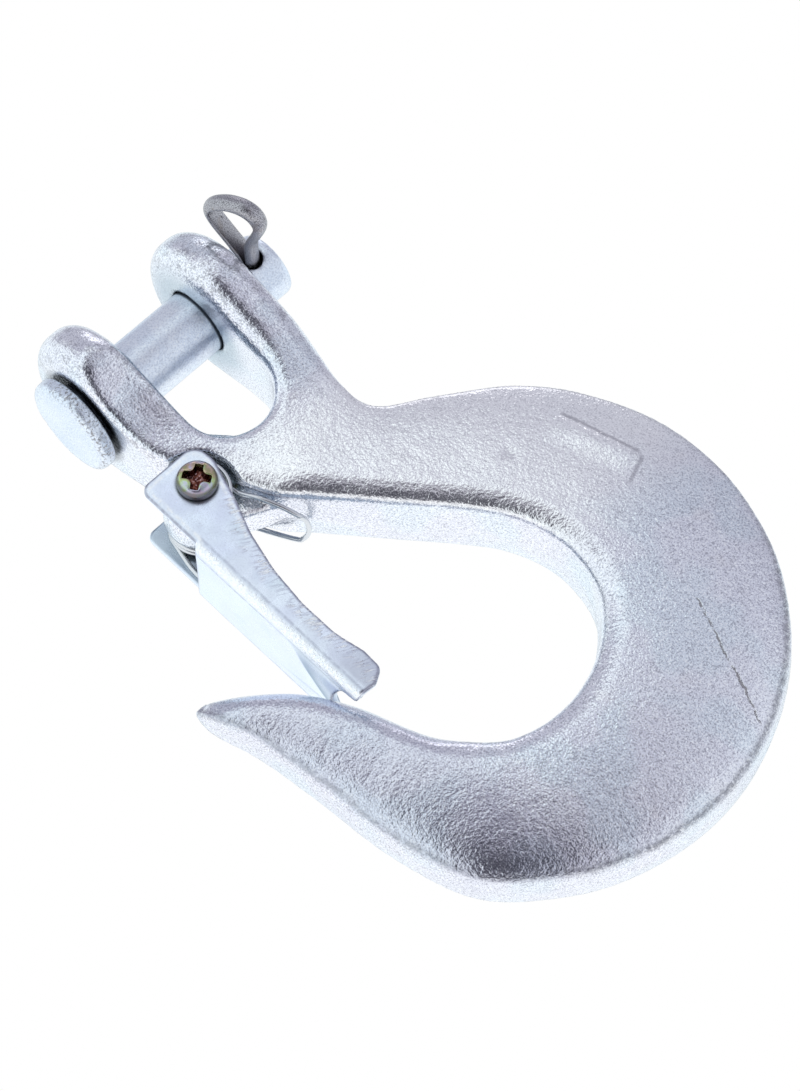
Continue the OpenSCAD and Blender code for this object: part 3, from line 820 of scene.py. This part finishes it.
def hook_mesh():
    step = 0.52
    origin, x, y, z = grid(HOOK, 1.6, step)
    rows = through(HOOK_ROWS, ROW_STEPS)
    outer, inner = rows[:, 0:2], rows[:, 2:4]
    field = hook_field(x, y, z, outer, inner, rows)
    points, quads, normals, bend = surface(field, origin, step)

    # grainy forged skin, kept off the bores
    x, y, z = points.T
    keep = (ease(5.7, 7.4, np.hypot(y, z))
            * ease(2.0, 12.0, np.hypot(x - PIVOT[0], z - PIVOT[2])))
    wave = (0.10 * noise(points, 15.0, 3) + 0.035 * noise(points, 6.5, 5)
            + 0.018 * noise(points, 2.8, 7) + 0.016 * noise(points, 1.5, 9)
            - 0.03 * ease(0.35, 0.8, noise(points, 1.9, 11)))
    # parting line left by the dies, a faint ridge round the middle of the outside walls
    parting = 0.10 * bell(y, 0.25 * noise(points, 9.0, 13), 0.55) * (np.abs(normals[:, 1]) < 0.5)
    parting *= ease(-20, -30, z)
    points = points + normals * ((wave + parting) * keep)[:, None]

    x, y, z = points.T
    side, depth = np.abs(x), np.abs(y)
    from_pin, from_pivot = np.hypot(y, z), np.hypot(x - PIVOT[0], z - PIVOT[2])
    edge = ease(0.50, 1.10, bend) * keep * ease(-22.0, -34.0, z)
    soft = ease(0.10, 0.30, bend) * keep * ease(-24.0, -12.0, z)
    well = ease(6.9, 5.9, from_pivot) * ease(LUG - 0.4, LUG - 0.05, depth) * ease(7.4, 6.6, depth)
    # painted shade round the pin's bores, under the pin's head and in the wells
    crevice_shade = ease(6.15, 5.75, from_pin) * (side > 7.0)
    crevice_shade = np.maximum(crevice_shade, 0.85 * ease(9.6, 7.6, from_pin) * ease(15.0, 16.0, -x))
    crevice_shade = np.maximum(crevice_shade, 0.35 * well)
    # painted dark reflection just inside the rim, strongest at the foot of the bowl
    foot = ease(-80.0, -96.0, z) * ease(-30.0, -14.0, x)
    foot = np.maximum(foot, 0.7 * ease(-10.0, -17.0, x))
    from_rim = to_line(x, z, outer)[0] - 0.95
    rimline = bell(from_rim, 0.25 * noise(points, 5.0, 15), 0.24 + 0.20 * foot)
    rimline = rimline * (0.14 + 0.60 * foot)
    rimline = rimline * ease(0.15, 0.40, normals[:, 1] * np.sign(y)) * ease(-30.0, -40.0, z)
    # shade on the jaw's walls round the pin, and in the wells
    shade = (ease(12.5, 7.0, from_pin) * ease(1.6, 0.5, np.abs(side - EAR_IN))
             * ease(-0.3, -0.75, normals[:, 0] * np.sign(x)))
    shade = np.maximum(shade, 0.7 * well)
    return points, quads, dict(edge=edge, soft=soft, crev=crevice_shade, shade=shade, rimline=rimline)


# ---------------------------------------------------------------- clevis pin
def from_cotter(x, y, z):
    return np.hypot(x - COTTER_X, y * COTTER_AXIS[2] - z * COTTER_AXIS[1])


def pin_mesh():
    step = 0.27
    origin, x, y, z = grid(PIN, 1.2, step)
    start, end, head_r = PIN[0][0], PIN[1][0], PIN[1][2]
    under = start + 2.9     # underside of the head
    radial = np.hypot(y, z)
    shaft = round_max(radial - PIN_R,
                      np.abs(x - (start + 1.5 + end) / 2) - (end - start - 1.5) / 2, 1.1)
    dome = 0.22 * (radial / head_r) ** 2
    head = round_max(radial - head_r, (start + dome) - x, 1.15)
    head = round_max(head, x - under, 0.5)
    field = blend_min(shaft, head, 0.35)
    field = blend_max(field, 1.90 - from_cotter(x, y, z), 0.35)
    points, quads, normals, bend = surface(field, origin, step)

    # uneven head with nicks round its rim, nearly smooth shaft
    radial = np.hypot(points[:, 1], points[:, 2])
    on_head = ease(under + 0.2, under - 0.6, points[:, 0])
    wave = (on_head * (0.05 * noise(points, 4.0, 21) + 0.035 * noise(points, 1.3, 23))
            + 0.012 * noise(points, 1.0, 25))
    rim = on_head * ease(0.25, 0.5, bend)
    wave -= rim * 0.09 * ease(0.0, 0.6, noise(points, 1.1, 27))
    points = points + normals * wave[:, None]

    # painted shade under the head, at both ears and round the cotter's hole
    x, y, z = points.T
    side = np.abs(x)
    crevice_shade = ease(under - 0.12, under + 0.05, x) * ease(under + 1.1, under + 0.7, x)
    crevice_shade = np.maximum(crevice_shade, ease(EAR_IN - 0.35, EAR_IN - 0.02, side)
                         * ease(EAR_OUT + 0.3, EAR_OUT, side) * (radial < 6.2))
    crevice_shade = np.maximum(crevice_shade, ease(2.05, 1.85, from_cotter(x, y, z)))
    edge = on_head * ease(head_r - 1.2, head_r - 0.4, radial)
    return points, quads, dict(edge=edge, crev=crevice_shade)


# ---------------------------------------------------------------- latch
# side outline of the cheek on the -Y side (x, z, corner radius)
CHEEK_ROWS = [(-21.5, -18.9, 1.6), (-10.2, -18.9, 2.6), (-9.9, -23.0, 3.0), (-12.2, -30.4, 8),
              (-14.4, -35.8, 12), (-16.2, -43.0, 16), (-17.0, -50.0, 16), (-16.9, -57.0, 12),
              (-15.9, -61.8, 2), (-16.0, -65.6, 1.6), (-18.4, -67.0, 1.2), (-22.2, -66.6, 0.9),
              (-26.0, -66.3, 0), (-26.0, -31.8, 0), (-22.4, -31.9, 0.4), (-21.5, -31.2, 0.6)]
# the cheek on the +Y side is cut short before the nose
FAR_ROWS = (CHEEK_ROWS[:7] + [(-17.4, -55.6, 4), (-20.0, -61.6, 1.2), (-20.1, -66.4, 0.5)]
            + CHEEK_ROWS[11:])


def cheek_cut(x, y, z):
    """Distance to the side outline that holds at y."""
    return np.where(y > 2.0, inside_of(x, z, outline(FAR_ROWS)),
                    inside_of(x, z, outline(CHEEK_ROWS)))


def web_top(y):
    return -31.6 - 0.3 * np.cos(y / 7.0 * 1.4)


def latch_mesh():
    step = 0.23
    origin, x, y, z = grid(LATCH, 0.9, step)
    web = LATCH[0][0]       # x of the web's outer face
    side = np.abs(y)
    # shallow dish pressed into the web beside each bend, growing towards the nose
    grow = ease(-40.0, -64.0, z)
    dish = 0.55 * grow * bell(side, 6.3 - 1.6 * grow, 0.7 + 1.3 * grow)
    pressed_x = x - dish * ease(-19.5, -21.0, x)
    outer = round_max(web - pressed_x, side - CHEEK, BEND)
    inner = round_max(web + SHEET - pressed_x, side - (CHEEK - SHEET), 0.85)
    # above the web's top edge only the two cheeks carry on
    channel = np.maximum(np.maximum(outer, -inner), z - web_top(y))
    channel = np.minimum(channel, np.maximum(outer, CHEEK - SHEET - side))
    field = round_max(channel, cheek_cut(x, y, z), 0.32)
    field = blend_max(field, SCREW_HOLE_R - np.hypot(x - PIVOT[0], z - PIVOT[2]), 0.2)
    # round notch in the web at the nose
    notch = np.minimum(6.3 * (1 - np.hypot(y / 6.9, (z + 67.8) / 6.3)), -20.2 - x)
    field = blend_max(field, notch, 0.35)
    points, quads, normals, bend = surface(field, origin, step)
    away = ease(2.2, 3.4, np.hypot(points[:, 0] - PIVOT[0], points[:, 2] - PIVOT[2]))
    wave = 0.035 * noise(points, 9.0, 31) + 0.012 * noise(points, 2.4, 33)
    points = points + normals * (away * wave)[:, None]

    x, y, z = points.T
    side = np.abs(y)
    # painted highlight along the bends with painted shade lines beside it and on the inner faces; turn is 0
    # degrees at the web and 90 at the cheek
    turn = np.degrees(np.arctan2(side - (CHEEK - BEND), (web + BEND) - x))
    bent = ((side > CHEEK - BEND) & (x < web + BEND) & (normals[:, 0] * (x - web - BEND) > -0.2)
            & (z < web_top(y) + 0.2))
    ridge = ease(12, 34, turn) * ease(78, 58, turn) * bent
    line = (bell(turn, 6, 7.0) + 0.8 * bell(turn, 84, 7.0)) * bent
    inside = ease(CHEEK - 0.9, CHEEK - 1.25, side) * ease(web + 0.9, web + 1.25, x)
    from_pivot = np.hypot(x - PIVOT[0], z - PIVOT[2])
    # painted shade under the screw's head
    crevice_shade = (0.95 * ease(3.62, 3.22, from_pivot) * (y < 0)
               + 0.6 * ease(2.9, 2.2, from_pivot) * (y > 0))
    # bands along the free edges of the cheeks, one of them a painted highlight strip just inside the edge
    gap = cheek_cut(x, y, z)
    free = (ease(3.6, 0.4, -gap) * ease(-19.8, -18.6, x) * ease(-27, -31, z)
            * (side > CHEEK - 0.5))
    lip = ease(-0.46, -0.14, gap) * (side > CHEEK - 0.6)
    hem = bell(gap, -0.85, 0.30) * (side > CHEEK - 0.3) * (z > -36)
    outward = (normals[:, 1] * y > 0.5) | (x < web + 0.6)
    edge = np.maximum(ease(0.8, 2.4, bend) * outward, 0.9 * lip) * (1 - ridge)
    # painted dark reflection in a slanting field on the web, and painted shade on the cheeks, near the nose
    fold = -4.1 + 0.907 * (-54.1 - z)
    low = ease(fold + 0.35, fold - 0.35, y) * np.exp(-np.maximum(fold - y, 0) / 3.4)
    low = low * ease(-51.5, -57.0, z) * (x < web + 0.9)
    end = ease(-54.0, -65.0, z) * (side > CHEEK - 0.4) * ease(-20.6, -19.6, x)
    return points, quads, dict(edge=edge, ridge=ridge, inside=inside, crev=crevice_shade, free=free,
                               hem=hem, line=line, low=low, end=end)


# ---------------------------------------------------------------- latch screw, nut, insert
def turned(x, z, degrees):
    c, s = math.cos(math.radians(degrees)), math.sin(math.radians(degrees))
    return x * c + z * s, -x * s + z * c


def screw_mesh():
    step = 0.11
    origin, x, y, z, radial = pivot_grid(SCREW, 0.5, step)
    start, end = SCREW[0][1], SCREW[1][1]
    head_r = SCREW[1][0] - PIVOT[0]
    under = start + 2.3     # underside of the head
    # pan head with a gently domed top
    top = start + 0.42 * (radial / head_r) ** 2
    head = round_max(radial - head_r, top - y, 1.05)
    head = round_max(head, y - under, 0.18)
    # thread only beyond the +Y cheek
    threaded = ease(CHEEK - 0.2, CHEEK + 0.4, y)
    pitch = 0.7
    groove = 0.5 + 0.5 * np.cos(2 * math.pi * (y / pitch) + np.arctan2(z, x))
    shaft = round_max(radial - 1.75 + 0.16 * threaded * groove,
                      np.abs(y - (under - 1 + end) / 2) - (end - under + 1) / 2, 0.4)
    field = np.minimum(shaft, head)
    # tapered cross recess
    depth = y - start

    def cross_arm(degrees):
        along, across = (np.abs(part) for part in turned(x, z, degrees))
        return round_max(along - 2.45 + 0.50 * depth,
                         across - 0.60 - 0.05 * along + 0.12 * depth, 0.22)

    cross = blend_min(cross_arm(35.0), cross_arm(125.0), 1.15)
    field = blend_max(field, -np.maximum(cross, depth - 1.7), 0.16)
    points, quads, _, _ = surface(field, origin, step)

    radial = np.hypot(points[:, 0] - PIVOT[0], points[:, 2] - PIVOT[2])
    depth = points[:, 1] - start
    sunk = depth - 0.42 * (radial / head_r) ** 2
    recess = ease(0.20, 0.50, sunk) * (radial < 2.5) * (depth < 2.0)
    ends = (ease(0.15, 0.4, sunk) * ease(1.75, 2.05, radial) * (radial < 2.6) * (depth < 1.3)
            * ease(0.9, 0.6, sunk))
    # painted shade on the side of the head
    rim = ease(head_r - 0.62, head_r - 0.25, radial) * (points[:, 1] < under + 0.1)
    return points, quads, dict(recess=recess * (1 - ends), ends=ends, rim=rim)


def nut_mesh():
    step = 0.15
    origin, x, y, z, radial = pivot_grid(NUT, 0.6, step)
    start, end = NUT[0][1], NUT[1][1]
    flats = np.maximum.reduce([np.abs(turned(x, z, a)[0]) for a in (30, 90, 150)]) - 3.5
    chamfer = np.maximum(radial - 3.72 - 1.2 * (y - start),
                         radial - 3.72 - 1.2 * (start + 3.0 - y))
    body = blend_max(round_max(flats, np.abs(y - start - 1.5) - 1.5, 0.22), chamfer, 0.2)
    collar = round_max(radial - 3.35, np.abs(y - start - 2.8) - (end - start - 2.8), 0.55)
    field = blend_min(body, collar, 0.3)
    field = blend_max(field, 1.80 - radial, 0.15)
    # recess that holds the ring, with a narrower opening
    recess = round_max(radial - 2.80, start + 2.6 - y, 0.1)
    lip = y >= start + 3.85
    field = np.maximum(field, np.where(lip, -9.0, -recess))
    field = blend_max(field, -np.maximum(radial - 2.45, (start + 2.6) - y), 0.12)
    points, quads, normals, bend = surface(field, origin, step)
    points = points + normals * (0.012 * noise(points, 1.6, 41))[:, None]
    return points, quads, dict(edge=ease(0.5, 1.6, bend))


def insert_mesh():
    step = 0.1
    origin, _, y, _, radial = pivot_grid(INSERT, 0.4, step)
    start, end = INSERT[0][1], INSERT[1][1]
    field = round_max(radial - 2.70, np.abs(y - (start + end) / 2) - (end - start) / 2, 0.25)
    field = round_max(field, 1.77 - radial, 0.2)
    points, quads, _, _ = surface(field, origin, step)
    return points, quads, {}


# ---------------------------------------------------------------- swept wires
def heading(path, i):
    step = path[min(i + 1, len(path) - 1)] - path[max(i - 1, 0)]
    return step / np.linalg.norm(step)


def sweep(path, sides, section):
    """Closed tube along path. sides gives the section's first direction at each point."""
    last, count = len(path) - 1, len(section)
    run = np.concatenate([[0], np.cumsum(np.linalg.norm(np.diff(path, axis=0), axis=1))])
    girth = [0.0]
    for j in range(count - 1):
        girth.append(girth[-1] + math.dist(section[j], section[j + 1]))
    vertices, along, around, faces = [], [], [], []
    for i in range(last + 1):
        ahead = heading(path, i)
        side = sides[i] - (sides[i] @ ahead) * ahead
        side /= np.linalg.norm(side)
        across = np.cross(ahead, side)
        vertices += [path[i] + side * p + across * q for p, q in section]
        along += [run[i]] * count
        around += girth
    for i in range(last):
        for j in range(count):
            a, b = i * count + j, i * count + (j + 1) % count
            faces.append((a, b, b + count, a + count))
    # rounded-over ends
    for end, base, inner in ((0, 0, 1), (last, last * count, last - 1)):
        ring = np.array(vertices[base:base + count])
        centre = ring.mean(0)
        outward = path[end] - path[inner]
        outward /= np.linalg.norm(outward)
        size = np.linalg.norm(ring - centre, axis=1).mean()
        previous = base
        for shrink, out in ((0.86, 0.10), (0.55, 0.17)):
            start = len(vertices)
            vertices += [centre + (p - centre) * shrink + outward * size * out for p in ring]
            along += [run[end]] * count
            around += girth
            for j in range(count):
                k = (j + 1) % count
                a, b, c, d = previous + j, previous + k, start + j, start + k
                faces.append((b, a, c, d) if end == 0 else (a, b, d, c))
            previous = start
        start = len(vertices)
        vertices.append(centre + outward * size * 0.19)
        along.append(run[end])
        around.append(0.0)
        for j in range(count):
            a, b = previous + j, previous + (j + 1) % count
            faces.append((b, a, start) if end == 0 else (a, b, start))
    return np.array(vertices), faces, dict(along=along, around=around)


# centre of the cotter's flat side: across the eye, along the legs towards the eye
COTTER_PATH = [
    (-0.08, -19.0), (-0.08, -12), (-0.08, -6), (-0.08, 0), (-0.08, 3.2), (-0.11, 5.6),
    (-0.16, 8.0), (-0.16, 10.0), (0.12, 12.0), (0.85, 14.0), (1.6, 16.1), (1.8, 17.8),
    (1.0, 19.2), (-0.6, 19.7), (-2.5, 19.2), (-4.2, 18.1), (-5.65, 16.6), (-6.2, 15.0),
    (-5.5, 13.1), (-4.15, 11.1), (-2.65, 9.0), (-1.22, 7.0), (-0.40, 5.2), (-0.22, 3.4),
    (-0.20, 0), (-0.20, -6), (-0.20, -12), (-0.20, -17.4)]
# flat side of the D section with its soft corners (outwards, across)
COTTER_FLAT = [(0.16, 1.535), (0.03, 1.38), (0.0, 1.15), (0.0, 0.6), (0.0, 0.0), (0.0, -0.6),
               (0.0, -1.15), (0.03, -1.38), (0.16, -1.535)]


def cotter_mesh():
    """Half-round wire: two legs lying flat to flat, parting into the eye."""
    x_axis = np.array([1.0, 0, 0])
    eye_turn = math.radians(-74.0)
    wide = x_axis * math.cos(eye_turn) + np.cross(COTTER_AXIS, x_axis) * math.sin(eye_turn)
    centre = np.array([COTTER_X, 0, 0])
    flat = through(COTTER_PATH, 8)
    path = np.array([centre + wide * p[0] + COTTER_AXIS * p[1] for p in flat])
    ways = [heading(flat, i) for i in range(len(flat))]
    outward = [wide * way[1] - COTTER_AXIS * way[0] for way in ways]
    radius = 1.55
    arc = [(radius * math.cos(q), radius * math.sin(q))
           for q in (math.radians(degrees) for degrees in np.linspace(-78, 78, 13))]
    return sweep(path, outward, arc + COTTER_FLAT)


def spring_mesh():
    """Double torsion spring: a coil on each side of the lug, joined by a loop."""
    wire = 0.425            # wire radius
    coil_r, turns = 4.9, 3
    coil_in, coil_out = LUG + 0.35 + wire, CHEEK - SHEET - 0.15 - wire
    first, last = 20.0, 175.0       # angles where the coil starts and ends
    span = 360 * (turns - 1) + last - first

    def side(sign):
        points = []
        for degrees in np.arange(0, 76, 15):
            q = math.radians(degrees)
            points.append((-4.9 - 1.4 * (1 - math.cos(q)), sign * 4.3 * math.sin(q),
                           -38.4 + 1.6 * (1 - math.cos(q))))
        points += [(-6.9, sign * 4.9, -34.9), (-8.4, sign * 5.3, -31.6),
                   (-9.75, sign * 4.85, -28.9), (-10.05, sign * 4.45, -27.2),
                   (-9.8, sign * 4.1, -25.6)]
        for i in range(16 * turns + 1):
            part = i / (16 * turns)
            q = math.radians(first + part * span)
            points.append((PIVOT[0] + coil_r * math.cos(q),
                           sign * (coil_in + part * (coil_out - coil_in)),
                           PIVOT[2] + coil_r * math.sin(q)))
        points += [(-20.3, sign * coil_out, -28.2), (-20.5, sign * (coil_out - 0.3), -33),
                   (-20.55, sign * (coil_out - 0.6), -38)]
        return np.array(points)

    path = through(np.concatenate([side(-1)[:0:-1], side(1)]), 4)
    outward = [p - np.array([PIVOT[0], p[1], PIVOT[2]]) for p in path]
    circle = [(wire * math.cos(q), wire * math.sin(q))
              for q in np.linspace(0, 2 * math.pi, 13)[:-1]]
    return sweep(path, outward, circle)


# ---------------------------------------------------------------- make the pieces
# object, moving body, slot, CAD node, mesh, material
PIECES = [
    ("forged_hook", "hook", "forging", "hook_body", hook_mesh, forging_material),
    ("clevis_pin_turned", "pin", "pin", "clevis_pin", pin_mesh, pin_material),
    ("latch_pressing", "latch_arm", "latch_sheet", "latch", latch_mesh, latch_material),
    ("latch_screw_pan_head", "hook", "screw", "latch_screw", screw_mesh, screw_material),
    ("latch_lock_nut", "hook", "nut", "latch_nut", nut_mesh, nut_material),
    ("latch_nut_ring", "hook", "insert", "latch_nut_insert", insert_mesh, insert_material),
    ("cotter_wire", "cotter", "cotter", "cotter_pin", cotter_mesh, cotter_material),
    ("latch_spring_wire", None, "spring", "latch_spring", spring_mesh, spring_material)]
made = {}
for name, body, slot, node, make_mesh, make_material in PIECES:
    vertices, faces, marks = make_mesh()
    made[name] = build(name, body, node, vertices, faces, make_material(), marks)
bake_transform(made["latch_spring_wire"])

# ---------------------------------------------------------------- camera
# the camera's own axes; BACK points from the hook to the camera
RIGHT = Vector((0.7143483, 0.0, -0.6997903))
UP = Vector((0.6273059, -0.4432066, 0.6403555))
BACK = Vector((-0.3101512, -0.8964195, -0.3166044))
lens = bpy.data.cameras.new("camera")
lens.sensor_width = 36.0
lens.lens = 137.268561
lens.clip_start, lens.clip_end = 0.01, 20.0
camera = bpy.data.objects.new("camera", lens)
bpy.context.scene.collection.objects.link(camera)
turn = Matrix((RIGHT, UP, BACK)).transposed().to_4x4()
camera.matrix_world = Matrix.Translation(Vector((-0.193848, -0.568926, -0.251131))) @ turn
bpy.context.scene.camera = camera


# ---------------------------------------------------------------- floor, surroundings and light
def floor_material():
    """Pale round the middle, turning to plain white further out."""
    mat = Material("floor_pale")
    flat = mat.vector("MULTIPLY", mat.position, (1, 1, 0))
    far = mat.ramp(mat.vector("LENGTH", flat, output="Value"), span=(0.12, 0.55))
    pale = mat.value("ShaderNodeBsdfDiffuse", Color=(0.88, 0.88, 0.89))
    white = mat.value("ShaderNodeEmission", Color=(1, 1, 1), Strength=1.0)
    return mat.output(mat.value("ShaderNodeMixShader", far, pale, white))


def make_floor(sides=96, radius=3.0, level=-0.30):
    angles = [2 * math.pi * i / sides for i in range(sides)]
    rim = [(radius * math.cos(q), radius * math.sin(q), level) for q in angles]
    mesh = bpy.data.meshes.new("floor")
    mesh.from_pydata([(0, 0, level)] + rim, [],
                     [(0, i + 1, (i + 1) % sides + 1) for i in range(sides)])
    floor = bpy.data.objects.new("floor", mesh)
    bpy.context.scene.collection.objects.link(floor)
    mesh.materials.append(floor_material())
    floor.visible_glossy = False
    floor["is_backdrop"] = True


def make_world():
    """Pale surroundings with grey patches for the metal to reflect; the camera sees white."""
    world = bpy.data.worlds.new("studio")
    bpy.context.scene.world = world
    world.use_nodes = True
    sky = Graph(world.node_tree)
    direction = sky.value("ShaderNodeTexCoord", output="Generated")
    back, up, right = (sky.vector("DOT_PRODUCT", direction, tuple(axis), output="Value")
                       for axis in (BACK, UP, RIGHT))
    sky.color = (1.05, 1.13, 1.16)
    # grey-lilac on the camera's side, to the right
    sky.coat((0.66, 0.68, 0.765),
             sky.ramp(back, span=(-0.15, 0.35)) * sky.ramp(right, span=(-0.07, 0.12)))
    # white at the far right
    sky.coat((0.95, 1.00, 1.05), sky.ramp(right, span=(0.36, 0.52)) * 0.6)
    # grey overhead
    sky.coat((0.56, 0.57, 0.65),
             sky.ramp(up, span=(0.36, 0.60)) * sky.ramp(back, span=(0.53, 0.38))
             * sky.ramp(right, span=(-0.86, -0.62)))
    # grey strip right of the camera
    sky.coat((0.56, 0.56, 0.63),
             sky.ramp(right, span=(0.02, 0.10)) * sky.ramp(right, span=(0.42, 0.30))
             * sky.ramp(back, span=(0.66, 0.82)))
    # dark patch at the camera, darkest in its middle
    patch = sky.ramp(right, span=(-0.54, -0.14)) * sky.ramp(right, span=(0.22, 0.05))
    sky.coat((0.36, 0.35, 0.41), patch * sky.ramp(back, span=(0.66, 0.90)))
    sky.coat((0.07, 0.07, 0.09), patch * sky.ramp(back, span=(0.86, 0.97)))
    # bright from below
    sky.coat((1.15, 1.18, 1.20), sky.ramp(up, span=(-0.30, -0.60)) * 0.9)
    sky.coat((1, 1, 1), sky.value("ShaderNodeLightPath", output="Is Camera Ray"))
    background = sky.value("ShaderNodeBackground", sky.color, 1.0)
    sky.add("ShaderNodeOutputWorld", background)


def make_light():
    middle = Vector((0.003, 0.0, -0.052))
    place = middle + UP * 0.9 - BACK * 0.3
    light = bpy.data.lights.new("soft_top", "AREA")
    light.shape = "DISK"
    light.size = 0.5
    light.energy = 0.5
    lamp = bpy.data.objects.new("soft_top", light)
    bpy.context.scene.collection.objects.link(lamp)
    lamp.location = place
    lamp.rotation_mode = "QUATERNION"
    lamp.rotation_quaternion = (middle - place).to_track_quat("-Z", "Y")


make_floor()
make_world()
make_light()
bpy.context.scene.view_settings.view_transform = "Standard"

LO1, HI1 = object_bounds()
('{"frame_low_m": [%s],\n "frame_high_m": [%s],\n "visual_low_m": [%s],\n "visual_high_m": [%s]}\n' % tuple(
    ", ".join("%.6f" % c for c in p) for p in (LO0, HI0, LO1, HI1)))
